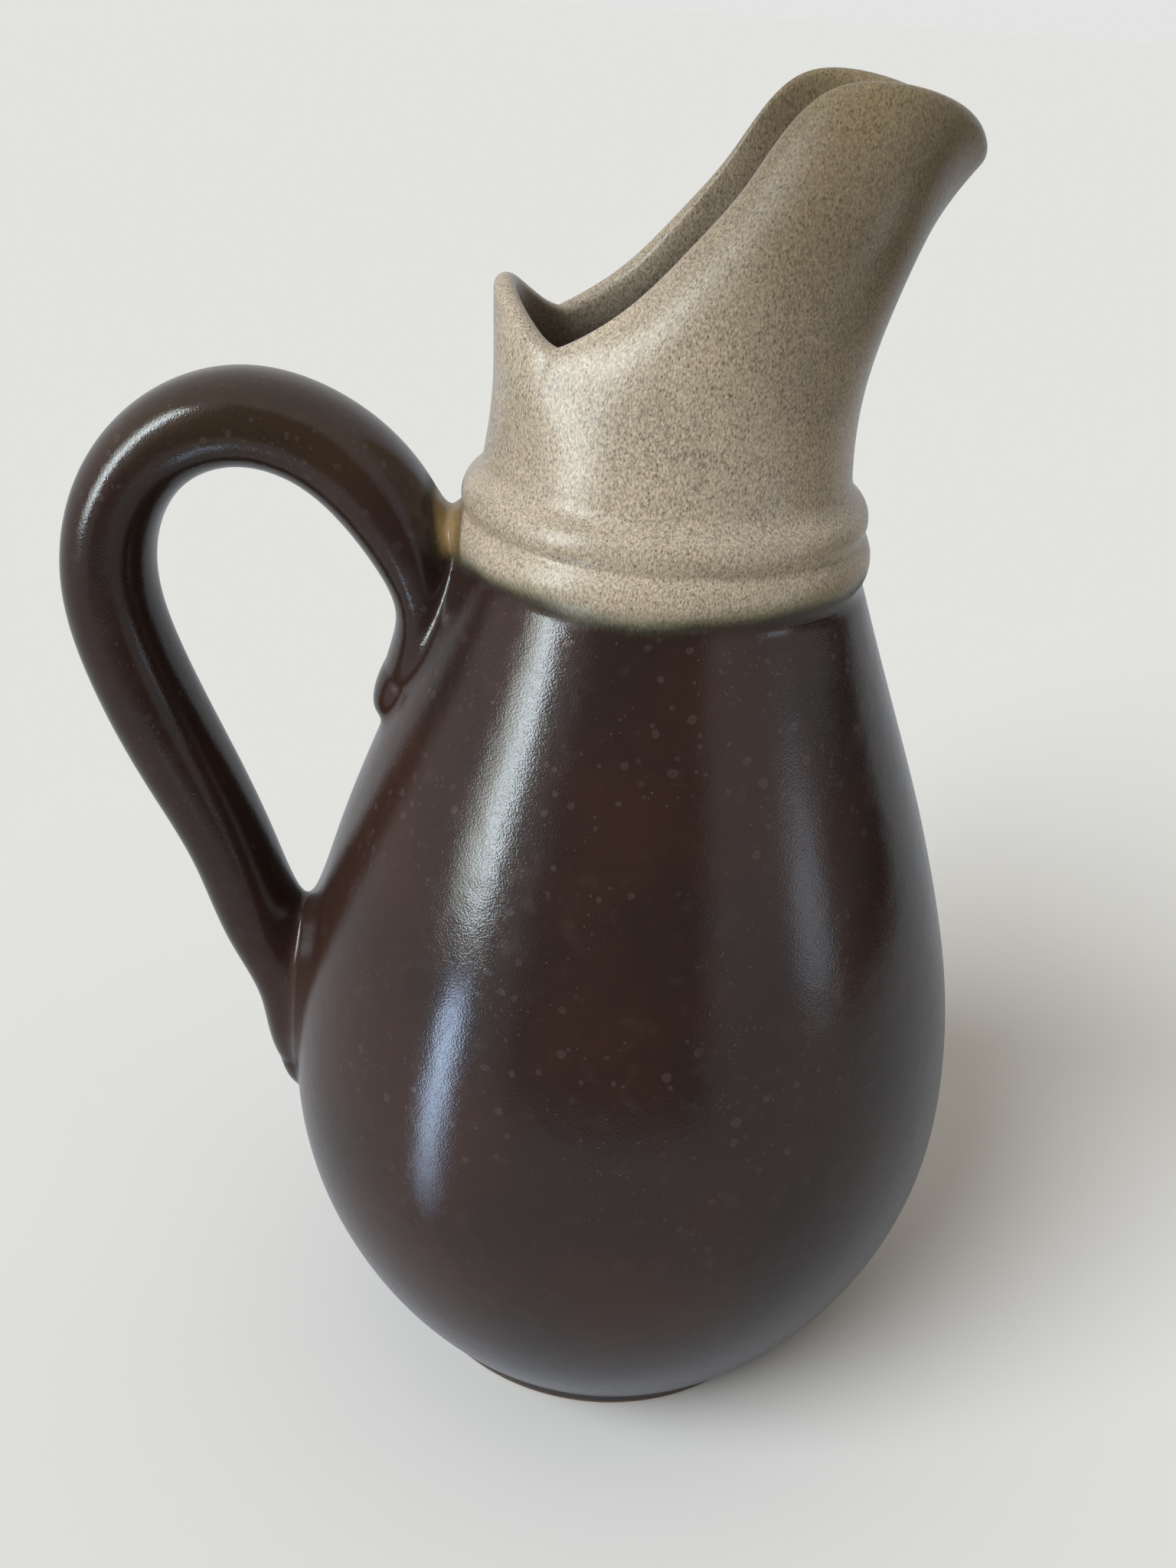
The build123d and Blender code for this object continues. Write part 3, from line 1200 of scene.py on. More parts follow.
@dataclass
class FootRing(Turned):
    """Low turned ring that carries the jug."""

    name = "jug_foot"
    node = "foot_ring"
    slot = Slot.BARE

    radius: float = 36.0
    flare: float = 1.5
    height: float = 5.0
    wall: float = 7.0
    edge: float = 1.0
    edge_pull: float = 0.6
    side_pull: float = 1.2
    edge_points: int = 9
    inner_edge_points: int = 7
    top_spacing: float = 1.0
    inner_spacing: float = 0.8

    def outline(self) -> np.ndarray:
        """Section of the ring with rounded edges.

        Returns:
            Rows of radius and height.
        """
        inner = self.radius - self.wall
        lean = math.degrees(math.atan2(self.flare, self.height))
        low = away((self.radius, 0.0), lean, self.edge)
        top = (self.radius + self.flare, self.height)
        under = self.edge - self.edge_pull
        outer_edge = [(self.radius - self.edge, 0.0), (self.radius - under, 0.0), away(low, lean, -self.edge_pull), low]
        side = [low, away(low, lean, self.side_pull), away(top, lean, -self.side_pull), top]
        inner_edge = [(inner, self.edge), (inner, under), (inner + under, 0.0), (inner + self.edge, 0.0)]
        return np.vstack(
            [
                inner_edge[-1:],
                bezier(outer_edge, self.edge_points),
                bezier(side, self.edge_points)[1:],
                straight(top, (inner, self.height), self.top_spacing)[1:],
                straight((inner, self.height), (inner, self.edge), self.inner_spacing)[1:],
                bezier(inner_edge, self.inner_edge_points)[1:],
            ]
        )


@dataclass
class Body(Turned):
    """Egg-shaped body with its hollow."""

    name = "jug_body"
    node = "body"
    slot = Slot.BROWN

    form: VesselForm
    floor_height: float = 11.0
    floor_radius: float = 26.0
    floor_pull: float = 17.0
    tuck_radius: float = 6.0
    tuck_lean: float = 70.0
    tuck_points: int = 14
    tuck_gap: float = 0.3
    lower_points: int = 60
    upper_points: int = 90
    floor_spacing: float = 3.0
    lip_spacing: float = 1.0
    fine_rows: int = 20
    wall_step: int = 3
    hollow_step: int = 2

    def outline(self) -> np.ndarray:
        """Outer wall and hollow in one outline.

        Returns:
            Rows of radius and height.
        """
        form = self.form
        outer, _ = form.split()
        inside = form.belly_radius - form.wall
        lower = [
            (self.floor_radius, self.floor_height),
            (self.floor_radius + self.floor_pull, self.floor_height),
            (inside, form.belly_height - form.belly_pull_down),
            (inside, form.belly_height),
        ]
        upper = [(radius - form.wall, height) for radius, height in form.upper()]
        hollow = np.vstack([bezier(lower, self.lower_points), bezier(upper, self.upper_points)[1:]])
        tuck = self._tuck()
        plain = outer[outer[:, 1] > tuck[-1, 1] + self.tuck_gap]
        return np.vstack(
            [
                straight((0.0, form.seat_height), tuck[0], self.floor_spacing),
                tuck[1:],
                plain[: -self.fine_rows : self.wall_step],
                plain[-self.fine_rows :],
                straight(outer[-1], hollow[-1], self.lip_spacing)[1:-1],
                hollow[:: -self.hollow_step],
                straight(hollow[0], (0.0, self.floor_height), self.floor_spacing)[1:],
            ]
        )

    def _tuck(self) -> np.ndarray:
        """Rounded edge by which the wall turns under to the foot, from the seat upwards.

        Returns:
            Rows of radius and height.
        """
        form = self.form
        under, wall = math.radians(self.tuck_lean), math.radians(form.base_lean)
        lean = np.linspace(under, wall, self.tuck_points)
        rise = self.tuck_radius * (math.sin(under) - np.sin(lean))
        out = self.tuck_radius * (np.cos(lean) - math.cos(under))
        seat = form.seat_radius + rise[-1] * math.tan(wall) - out[-1]
        return np.column_stack([seat + out, form.seat_height + rise])


@dataclass
class Collar(Turned):
    """Ring with two soft ribs between body and neck."""

    name = "jug_collar"
    node = "collar"
    slot = Slot.OATMEAL

    form: VesselForm
    end_spacing: float = 1.0
    bore_spacing: float = 0.6

    def outline(self) -> np.ndarray:
        """Section through the ribs and the bore.

        Returns:
            Rows of radius and height.
        """
        form = self.form
        _, outer = form.split()
        bore_top = (form.neck_radius - form.neck_wall, form.neck_seat)
        bore_low = (form.top_radius - form.wall, form.collar_seat)
        return np.vstack(
            [
                outer,
                straight(outer[-1], bore_top, self.end_spacing)[1:],
                straight(bore_top, bore_low, self.bore_spacing)[1:],
                straight(bore_low, outer[0], self.end_spacing)[1:],
            ]
        )


def mouth_stations() -> List[Station]:
    """Course of the mouth's rim from the tip to the back peak.

    Returns:
        Rows of azimuth, reach beyond the neck, rise over the collar and lean.
    """
    return [
        (0, 11.2, 46.5, 38),
        (14, 8.9, 49.9, 21),
        (26, 4.8, 52.6, -2),
        (38, -0.7, 53.5, -24),
        (48, -5.6, 52.0, -36),
        (57, -8.6, 47.6, -41),
        (69, -10.4, 40.9, -42),
        (89, -11.7, 32.9, -42),
        (112, -10.4, 25.0, -42),
        (128, -7.3, 20.3, -38),
        (138, -4.9, 18.6, -32),
        (150, -3.5, 20.2, -18),
        (166, -2.4, 23.6, -4),
        (180, -2.0, 24.9, 2),
    ]


@dataclass
class Spout:
    """Neck with the cut-away mouth and the beak, one wall section for each azimuth."""

    form: VesselForm
    stations: List[Station] = field(default_factory=mouth_stations)
    waist: float = 1.5
    foot_hold: float = 0.38
    rim_hold: float = 0.34
    inner_lean: float = -0.1
    back_rim: float = 3.2
    back_start: float = 60.0
    back_full: float = 125.0
    notch_azimuth: float = 138.0
    notch_cut: float = 0.8
    notch_spread: float = 5.0
    azimuths: int = 320
    outer_rows: int = 64
    rim_rows: int = 13
    inner_rows: int = 44

    def build(self, shop: Workshop) -> bpy.types.Object:
        """Lay the wall sections side by side round the neck.

        Args:
            shop: What the piece is made with.

        Returns:
            The piece.
        """
        azimuths = np.arange(self.azimuths) * FULL_TURN / self.azimuths
        from_tip = np.minimum(azimuths, FULL_TURN - azimuths)
        share = np.clip((from_tip - self.back_start) / (self.back_full - self.back_start), 0, 1)
        smooth = share**2 * (3 - 2 * share)
        rims = self.form.neck_wall + (self.back_rim - self.form.neck_wall) * smooth
        sections = np.array([self._section(*row, rim) for row, rim in zip(self._rows(azimuths), rims)])
        radii, heights = sections[:, :, 0], sections[:, :, 1]
        turns = np.radians(azimuths)[:, None]
        points = np.stack([radii * np.cos(turns), radii * np.sin(turns), heights], axis=2)
        mesh = looped_mesh("jug_spout", points, True)
        # Marks the inner rows, which the glaze darkens low in the throat as painted shade.
        inside = np.zeros(points.shape[:2])
        rim_end = self.outer_rows + self.rim_rows - 1
        inside[:, self.outer_rows : rim_end] = np.linspace(0.0, 1.0, self.rim_rows)[1:]
        inside[:, rim_end:] = 1.0
        mesh.attributes.new(INSIDE, "FLOAT", "POINT").data.foreach_set("value", inside.ravel())
        return shop.finish("jug_spout", mesh, Slot.OATMEAL, ["spout"])

    def _rows(self, azimuths: np.ndarray) -> np.ndarray:
        """Reach, rise and lean for each azimuth, mirrored about the handle's plane.

        Args:
            azimuths: Degrees from the pouring tip.

        Returns:
            A row for each azimuth.
        """
        half = np.array(self.stations, float)
        round_once = np.array((FULL_TURN, 0, 0, 0))
        ring = np.vstack([half, half[-2:0:-1] * (-1, 1, 1, 1) + round_once])
        loop = np.vstack([ring - round_once, ring, ring + round_once])
        rows = spline(loop[:, 0], loop[:, 1:], azimuths)
        for notch in (self.notch_azimuth, FULL_TURN - self.notch_azimuth):
            rows[:, 1] -= self.notch_cut * np.exp(-np.abs(azimuths - notch) / self.notch_spread)
        return rows

    def _section(self, reach: float, rise: float, lean: float, thickness: float) -> np.ndarray:
        """Closed section of the wall.

        Args:
            reach: How far the rim stands beyond the neck's radius.
            rise: Height of the rim over the collar.
            lean: Lean of the wall at the rim in degrees.
            thickness: Thickness of the wall at the rim.

        Returns:
            Rows of radius and height.
        """
        form = self.form
        seat = form.neck_seat
        half = thickness / 2
        bore = form.neck_radius - form.neck_wall
        rim = (form.neck_radius + reach, seat + rise)
        middle = away(rim, lean, -half)
        outer_edge = away(middle, lean + QUARTER_TURN, half)
        inner_lean = lean if lean > 0 else lean * self.inner_lean
        inner_edge = away(middle, inner_lean - QUARTER_TURN, half)
        hold = -self.rim_hold * rise
        foot = seat + self.foot_hold * rise
        outer_pulls = [(form.neck_radius - self.waist, foot), away(outer_edge, lean, hold)]
        inner_pulls = [away(inner_edge, inner_lean, hold), (bore - self.waist, foot)]
        return np.vstack(
            [
                bezier([(form.neck_radius, seat), *outer_pulls, outer_edge], self.outer_rows),
                arc(outer_edge, rim, inner_edge, self.rim_rows)[1:],
                bezier([inner_edge, *inner_pulls, (bore, seat)], self.inner_rows)[1:],
                [((bore + form.neck_radius) / 2, seat)],
            ]
        )


def looped_mesh(name: str, points: np.ndarray, joined: bool) -> bpy.types.Mesh:
    """A mesh of closed rings laid one after the other.

    Args:
        name: Name of the mesh.
        points: Places in millimetres, as rings, points around each ring and axes.
        joined: Whether the last ring joins the first; the end rings are capped where it doesn't.

    Returns:
        The mesh, in metres.
    """
    rings, around = points.shape[:2]
    corners = points.reshape(-1, 3)
    numbers = np.arange(rings * around).reshape(rings, around)
    following = np.roll(numbers, -1, axis=0) if joined else numbers[1:]
    leading = numbers if joined else numbers[:-1]
    quads = [leading, following, np.roll(following, -1, axis=1), np.roll(leading, -1, axis=1)]
    faces = np.stack(quads, axis=2).reshape(-1, 4).tolist()
    if not joined:
        corners = np.vstack([corners, points[0].mean(axis=0), points[-1].mean(axis=0)])
        first, last = rings * around, rings * around + 1
        for k in range(around):
            after = (k + 1) % around
            faces.append([first, int(numbers[0, k]), int(numbers[0, after])])
            faces.append([last, int(numbers[-1, after]), int(numbers[-1, k])])
    return made_mesh(name, corners, faces)


class Wall:
    """Distance to the vessel's outer wall, read from a table by radius and height."""

    low = (14.0, 20.0)
    high = (104.0, 190.0)
    pitch = 0.5
    neck_top = 200.0
    spacing = 0.2

    def __init__(self, form: VesselForm) -> None:
        """Fill the table, negative inside the wall.

        Args:
            form: The vessel's sizes.
        """
        line = even(np.vstack([form.outside(), [(form.neck_radius, self.neck_top)]]), self.spacing)
        along = np.gradient(line, axis=0)
        along /= np.linalg.norm(along, axis=1, keepdims=True)
        radii, heights = (np.arange(low, high, self.pitch) for low, high in zip(self.low, self.high))
        self.table = np.empty((len(radii), len(heights)))
        for k, radius in enumerate(radii):
            gaps = np.hypot(radius - line[None, :, 0], heights[:, None] - line[None, :, 1])
            nearest = gaps.argmin(axis=1)
            out, over = radius - line[nearest, 0], heights - line[nearest, 1]
            self.table[k] = out * along[nearest, 1] - over * along[nearest, 0]

    def distance(self, points: np.ndarray) -> np.ndarray:
        """Distance of points from the wall.

        Args:
            points: Places in millimetres.

        Returns:
            The distances, negative inside.
        """
        u = (np.hypot(points[..., 0], points[..., 1]) - self.low[0]) / self.pitch
        v = (points[..., 2] - self.low[1]) / self.pitch
        i = np.clip(u.astype(int), 0, self.table.shape[0] - 2)
        j = np.clip(v.astype(int), 0, self.table.shape[1] - 2)
        u, v = np.clip(u - i, 0, 1), np.clip(v - j, 0, 1)
        left = self.table[i, j] * (1 - v) + self.table[i, j + 1] * v
        right = self.table[i + 1, j] * (1 - v) + self.table[i + 1, j + 1] * v
        return left * (1 - u) + right * u


class StrapField:
    """Distance to the strap's skin, worked out from its line of centres."""

    batch = 20000

    def __init__(self, line: np.ndarray, power: float, tail: float) -> None:
        """Keep the line and its directions.

        Args:
            line: Rows of radius, height, thickness and width at each ring.
            power: Exponent of the oval.
            tail: Length of the rounding at both ends of the line.
        """
        self.centres = np.column_stack([-line[:, 0], line[:, 1]])
        self.halves = line[:, [3, 2]] / 2
        self.power = power
        self.tail = tail
        along = np.gradient(self.centres, axis=0)
        self.along = along / np.linalg.norm(along, axis=1, keepdims=True)
        self.pitch = float(np.linalg.norm(np.diff(self.centres, axis=0), axis=1).mean())

    def measure(self, points: np.ndarray, rings: Tuple[int, int]) -> Tuple[np.ndarray, np.ndarray, np.ndarray]:
        """Distance from the strap.

        Args:
            points: Places in millimetres, with any leading axes of which the last is along Y.
            rings: First and last ring to look at.

        Returns:
            The distance, negative inside, the ring that each point lies at, and how far its direction lies in
            the handle's plane, from 0 to 1.
        """
        plane = points[..., 0, :][..., [0, 2]] if points.ndim > 2 else points[:, [0, 2]]
        flat = plane.reshape(-1, 2)
        first, last = max(rings[0], 0), min(rings[1], len(self.centres) - 1)
        nearest = np.empty(len(flat), int)
        for part in np.array_split(np.arange(len(flat)), max(1, len(flat) // self.batch)):
            gaps = ((flat[part, None] - self.centres[None, first : last + 1]) ** 2).sum(axis=2)
            nearest[part] = gaps.argmin(axis=1) + first
        offset = ((flat - self.centres[nearest]) * self.along[nearest]).sum(axis=1)
        ring = np.clip(nearest + offset / self.pitch, 0, len(self.centres) - 1)
        past = np.maximum(np.abs(offset) - np.abs(ring - nearest) * self.pitch, 0.0)
        number = np.arange(len(self.centres))
        centre = np.column_stack([np.interp(ring, number, self.centres[:, axis]) for axis in (0, 1)])
        along = np.column_stack([np.interp(ring, number, self.along[:, axis]) for axis in (0, 1)])
        half_width, half_depth = (np.interp(ring, number, self.halves[:, axis]) for axis in (0, 1))
        through = np.abs((flat[:, 1] - centre[:, 1]) * along[:, 0] - (flat[:, 0] - centre[:, 0]) * along[:, 1])
        terms = [value.reshape(plane.shape[:-1]) for value in (ring, past, through, half_width, half_depth)]
        if points.ndim > 2:
            terms = [value[..., None] for value in terms]
        ring, past, through, half_width, half_depth = terms
        side = np.abs(points[..., 1]) / half_width
        deep = through / half_depth
        over = past / self.tail
        power = self.power
        level = np.maximum((side**power + deep**power + over**power) ** (1 / power), SMALL)
        slope = level ** (1 - power) * np.sqrt(
            (side ** (power - 1) / half_width) ** 2
            + (deep ** (power - 1) / half_depth) ** 2
            + (over ** (power - 1) / self.tail) ** 2
        )
        distance = (level - 1) / np.maximum(slope, SMALL)
        return distance, np.broadcast_to(ring, distance.shape), deep**2 / np.maximum(side**2 + deep**2, TINY)


@dataclass
class PressedRoot:
    """End of the strap, joined to the wall by a soft fillet."""

    strap: StrapField
    wall: Wall
    fillets: np.ndarray
    side_fillet: float
    rings: Tuple[int, int]
    pitch: float = 0.45
    below: Place = (17.5, 20.5, 13.5)
    beyond: Place = (17.5, 20.5, 17.5)
    tongue: float = 2.5
    sunk: float = 0.18
    feather: float = 0.03
    feather_start: float = 0.5
    feather_over: float = 0.45
    fillet_kept: float = 0.97
    buried: float = 1.6
    rounds: int = 4
    probe: float = 0.05
    least_slope: float = 0.05
    stride: float = 0.5
    free_gap: float = 0.25

    def mesh(self, name: str) -> bpy.types.Mesh:
        """Net the root's skin and draw the net onto the exact surface.

        Args:
            name: Name of the piece.

        Returns:
            The closed mesh.
        """
        centres = self.strap.centres[max(self.rings[0], 0) : self.rings[1] + 1]
        low = np.array([centres[:, 0].min(), 0.0, centres[:, 1].min()]) - self.below
        high = np.array([centres[:, 0].max(), 0.0, centres[:, 1].max()]) + self.beyond
        x, y, z = (np.arange(a, b, self.pitch) for a, b in zip(low, high))
        grid = np.stack(np.meshgrid(x, z, y, indexing="ij"), axis=-1)[..., [0, 2, 1]]
        values, _ = self._values(grid)
        points, faces = surface_net(values, np.array([x[0], z[0], y[0]]), self.pitch)
        points = points[:, [0, 2, 1]]
        for _ in range(self.rounds):
            points = self._settled(points)
        return made_mesh(name, points, faces.tolist())

    def _values(self, points: np.ndarray) -> Tuple[np.ndarray, np.ndarray]:
        """Level of the root at given places.

        Args:
            points: Places in millimetres.

        Returns:
            The level of the trimmed root, negative inside, and that of the untrimmed skin.
        """
        spare = int(math.ceil(2 * self.tongue / self.strap.pitch))
        strap, ring, upright = self.strap.measure(points, (self.rings[0] - spare, self.rings[1] + spare))
        past = np.maximum(self.rings[0] - ring, ring - self.rings[1]) * self.strap.pitch
        strap = strap + self.sunk * np.clip(past / self.tongue, 0, 1)
        gap = self.wall.distance(points)
        middle = np.interp(ring, np.arange(len(self.fillets)), self.fillets)
        side = np.minimum(self.side_fillet, middle)
        fillet = side + (middle - side) * upright
        sink = self.feather * np.clip((strap / fillet - self.feather_start) / self.feather_over, 0, 1)
        # A soft minimum of both distances, by a cubic where they are nearly the same.
        near = np.maximum(1 - np.abs(strap - gap - sink) / fillet, 0)
        skin = np.minimum(strap, gap + sink) - near**3 * fillet / 6
        trims = np.maximum(np.maximum(strap - self.fillet_kept * fillet, -self.buried - gap), past - self.tongue)
        return np.maximum(skin, trims), skin

    def _settled(self, points: np.ndarray) -> np.ndarray:
        """Move points of the net onto the exact skin, all but those on the trimmed faces.

        Args:
            points: Places in millimetres.

        Returns:
            The new places.
        """
        trimmed, skin = self._values(points)
        rises = [self._values(points + shift)[1] - self._values(points - shift)[1] for shift in np.eye(3) * self.probe]
        slope = np.stack(rises, axis=-1) / (2 * self.probe)
        move = skin[:, None] * slope / np.maximum((slope**2).sum(axis=1, keepdims=True), self.least_slope)
        reach = np.linalg.norm(move, axis=1, keepdims=True)
        move *= np.minimum(1, self.stride * self.pitch / np.maximum(reach, TINY))
        free = (trimmed - skin < self.free_gap * self.pitch)[:, None]
        return points - np.where(free, move, 0.0)


def surface_net(values: np.ndarray, low: np.ndarray, pitch: float) -> Tuple[np.ndarray, np.ndarray]:
    """A net of four-sided faces round the zero level of values on a grid.

    Args:
        values: Values at the grid's points, negative inside.
        low: Place of the first point.
        pitch: Distance between points.

    Returns:
        Places of the net's knots, and the knots of each face.
    """
    inside = values < 0
    shape = np.array(values.shape)
    steps = [np.array(step) for step in np.ndindex(2, 2, 2)]
    cells = shape - 1
    corners = sum(inside[tuple(slice(s, s + c) for s, c in zip(step, cells))].astype(int) for step in steps)
    mixed = (corners > 0) & (corners < len(steps))
    knots = np.full(tuple(cells), -1)
    knots[mixed] = np.arange(int(mixed.sum()))
    at = np.argwhere(mixed)
    total = np.zeros((len(at), 3))
    hits = np.zeros((len(at), 1))
    for axis in range(3):
        along = np.eye(3, dtype=int)[axis]
        for start in (step for step in steps if step[axis] == 0):
            one = values[tuple((at + start).T)]
            two = values[tuple((at + start + along).T)]
            cross = (one < 0) != (two < 0)
            share = np.where(cross, one / np.where(cross, one - two, 1.0), 0.0)
            total += cross[:, None] * (at + start + share[:, None] * along)
            hits += cross[:, None]
    faces = []
    for axis in range(3):
        along, left, right = (np.eye(3, dtype=int)[(axis + turn) % 3] for turn in range(3))
        ends = np.argwhere(inside)
        for way in (0, 1):
            begin = ends - way * along
            begin = begin[((begin >= 0) & (begin + along < shape)).all(axis=1)]
            other = begin + (1 - way) * along
            begin = begin[~inside[tuple(other.T)]]
            ring = [begin, begin - left, begin - left - right, begin - right]
            quads = np.stack([knots[tuple(corner.T)] for corner in ring], axis=1)
            faces.append(quads if way else quads[:, ::-1])
    return low + pitch * total / hits, np.vstack(faces)


def strap_stations() -> List[Station]:
    """Course of the strap's line from the shoulder to the belly.

    Returns:
        Rows of radius, height, thickness and width.
    """
    from_collar = [
        (8.4, -21.6, 6.8, 13.6),
        (7.0, -18.6, 7.8, 16.6),
        (5.4, -11.0, 8.6, 19.0),
        (7.1, -1.0, 12.6, 20.4),
        (12.4, 7.8, 14.6, 20.0),
        (21.6, 15.3, 14.4, 19.4),
        (32.6, 18.0, 14.4, 19.0),
        (44.6, 13.7, 13.8, 18.6),
        (52.6, 3.0, 13.8, 18.4),
        (54.6, -9.0, 14.2, 18.4),
    ]
    from_belly = [
        (24.4, 68.0, 14.6, 18.4),
        (17.4, 51.5, 14.4, 18.4),
        (11.0, 37.0, 13.2, 18.4),
        (6.0, 22.0, 12.6, 19.0),
        (2.2, 9.0, 9.0, 18.0),
        (1.1, -2.0, 7.2, 15.5),
        (0.6, -4.6, 6.5, 13.8),
    ]
    form = VesselForm
    return [
        (radius + out, height + up, *size)
        for radius, height, rows in (
            (form.top_radius, form.collar_seat, from_collar),
            (form.belly_radius, form.belly_height, from_belly),
        )
        for out, up, *size in rows
    ]


@dataclass
class Handle:
    """Pulled strap that loops from the shoulder to the belly, with its two pressed-on roots."""

    form: VesselForm
    stations: List[Station] = field(default_factory=strap_stations)
    upper_root_station: int = 4
    lower_root_station: int = 12
    fillet_stations: Tuple[int, ...] = (0, 2, 4, 12, 14, 16)
    ring_spacing: float = 0.7
    around: int = 96
    roundness: float = 0.9
    tail_round: float = 8.0
    upper_side_fillet: float = 6.5
    lower_side_fillet: float = 8.5
    tail_fillet: float = 4.5
    upper_fillet: float = 7.0
    lower_fillet: float = 11.5

    def build(self, shop: Workshop) -> List[bpy.types.Object]:
        """Pull the strap and press its two ends onto the wall.

        Args:
            shop: What the pieces are made with.

        Returns:
            The three pieces.
        """
        line, stations_at = self._line()
        upper, lower = (int(stations_at[k]) for k in (self.upper_root_station, self.lower_root_station))
        skin = StrapField(line, 2 / self.roundness, self.tail_round)
        wall = Wall(self.form)
        fillets = self._fillets(len(line), stations_at)
        # A root's outer end is open: its last ring lies well beyond the line.
        ends = len(line)
        upper_root = PressedRoot(skin, wall, fillets, self.upper_side_fillet, (-ends, upper))
        lower_root = PressedRoot(skin, wall, fillets, self.lower_side_fillet, (lower, 2 * ends))
        strap = looped_mesh("jug_strap", self._pull(shop, line)[upper : lower + 1], False)
        made = (
            (upper_root.mesh("jug_upper_root"), "upper_handle_root"),
            (strap, "handle"),
            (lower_root.mesh("jug_lower_root"), "lower_handle_root"),
        )
        return [shop.finish(mesh.name, mesh, Slot.BROWN, [node]) for mesh, node in made]

    def _line(self) -> Tuple[np.ndarray, np.ndarray]:
        """The strap's line.

        Returns:
            Rows of radius, height, thickness and width at each ring, and the ring of each station.
        """
        stations = np.array(self.stations, float)
        gaps = np.linalg.norm(np.diff(stations[:, :2], axis=0), axis=1)
        knots = np.concatenate([[0.0], np.cumsum(gaps)])
        rings = int(round(knots[-1] / self.ring_spacing)) + 1
        line = spline(knots, stations, np.linspace(0.0, knots[-1], rings))
        return line, np.round(knots / knots[-1] * (rings - 1))

    def _pull(self, shop: Workshop, line: np.ndarray) -> np.ndarray:
        """Sweep the oval along the line.

        Args:
            shop: What the piece is made with.
            line: Rows of radius, height, thickness and width.

        Returns:
            Places as rings, points around each ring and axes, in millimetres.
        """
        centres = np.column_stack([-line[:, 0], np.zeros(len(line)), line[:, 1]])
        along = np.gradient(centres, axis=0)
        along /= np.linalg.norm(along, axis=1, keepdims=True)
        facing = np.column_stack([-along[:, 2], np.zeros(len(line)), along[:, 0]])
        halves = np.column_stack([line[:, 3] / 2, line[:, 2] / 2, np.zeros(len(line))]) * MM
        mesh = made_mesh("strap_line", centres)
        for label, values in (("facing", facing), ("halves", halves)):
            mesh.attributes.new(label, "FLOAT_VECTOR", "POINT").data.foreach_set("vector", values.ravel())
        values = {"Around": self.around, "Roundness": self.roundness, "Material": shop.materials[Slot.BROWN]}
        swept = shop.puller.make(mesh, values)
        return places(swept).reshape(len(line), self.around + 1, 3)[:, :-1]

    def _fillets(self, rings: int, stations_at: np.ndarray) -> np.ndarray:
        """Softness of the join in the handle's plane.

        Args:
            rings: Number of rings.
            stations_at: The ring of each station.

        Returns:
            The fillet's size at each ring.
        """
        tail, upper, lower = self.tail_fillet, self.upper_fillet, self.lower_fillet
        known = stations_at[list(self.fillet_stations)]
        return np.interp(np.arange(rings), known, [tail, upper, upper, lower, lower, tail])


@dataclass(frozen=True)
class Card:
    """Bright card, its power in watts, which only the glaze mirrors."""

    name: str
    place: Place
    target: Place
    size: Pair
    power: float
    colour: Colour


@dataclass(frozen=True)
class Sun:
    """Even light, in watts per square metre and degrees of width, which the glaze doesn't mirror."""

    name: str
    place: Place
    power: float
    width: float
    colour: Colour
    target: Place = (0.0, 0.0, 0.0)


def pose(axes: np.ndarray, place: Sequence[float]) -> Matrix:
    """Pose of an object at a place, with its axes as the columns of an array."""
    return Matrix([[*row, at] for row, at in zip(axes, place)] + [[0, 0, 0, 1]])


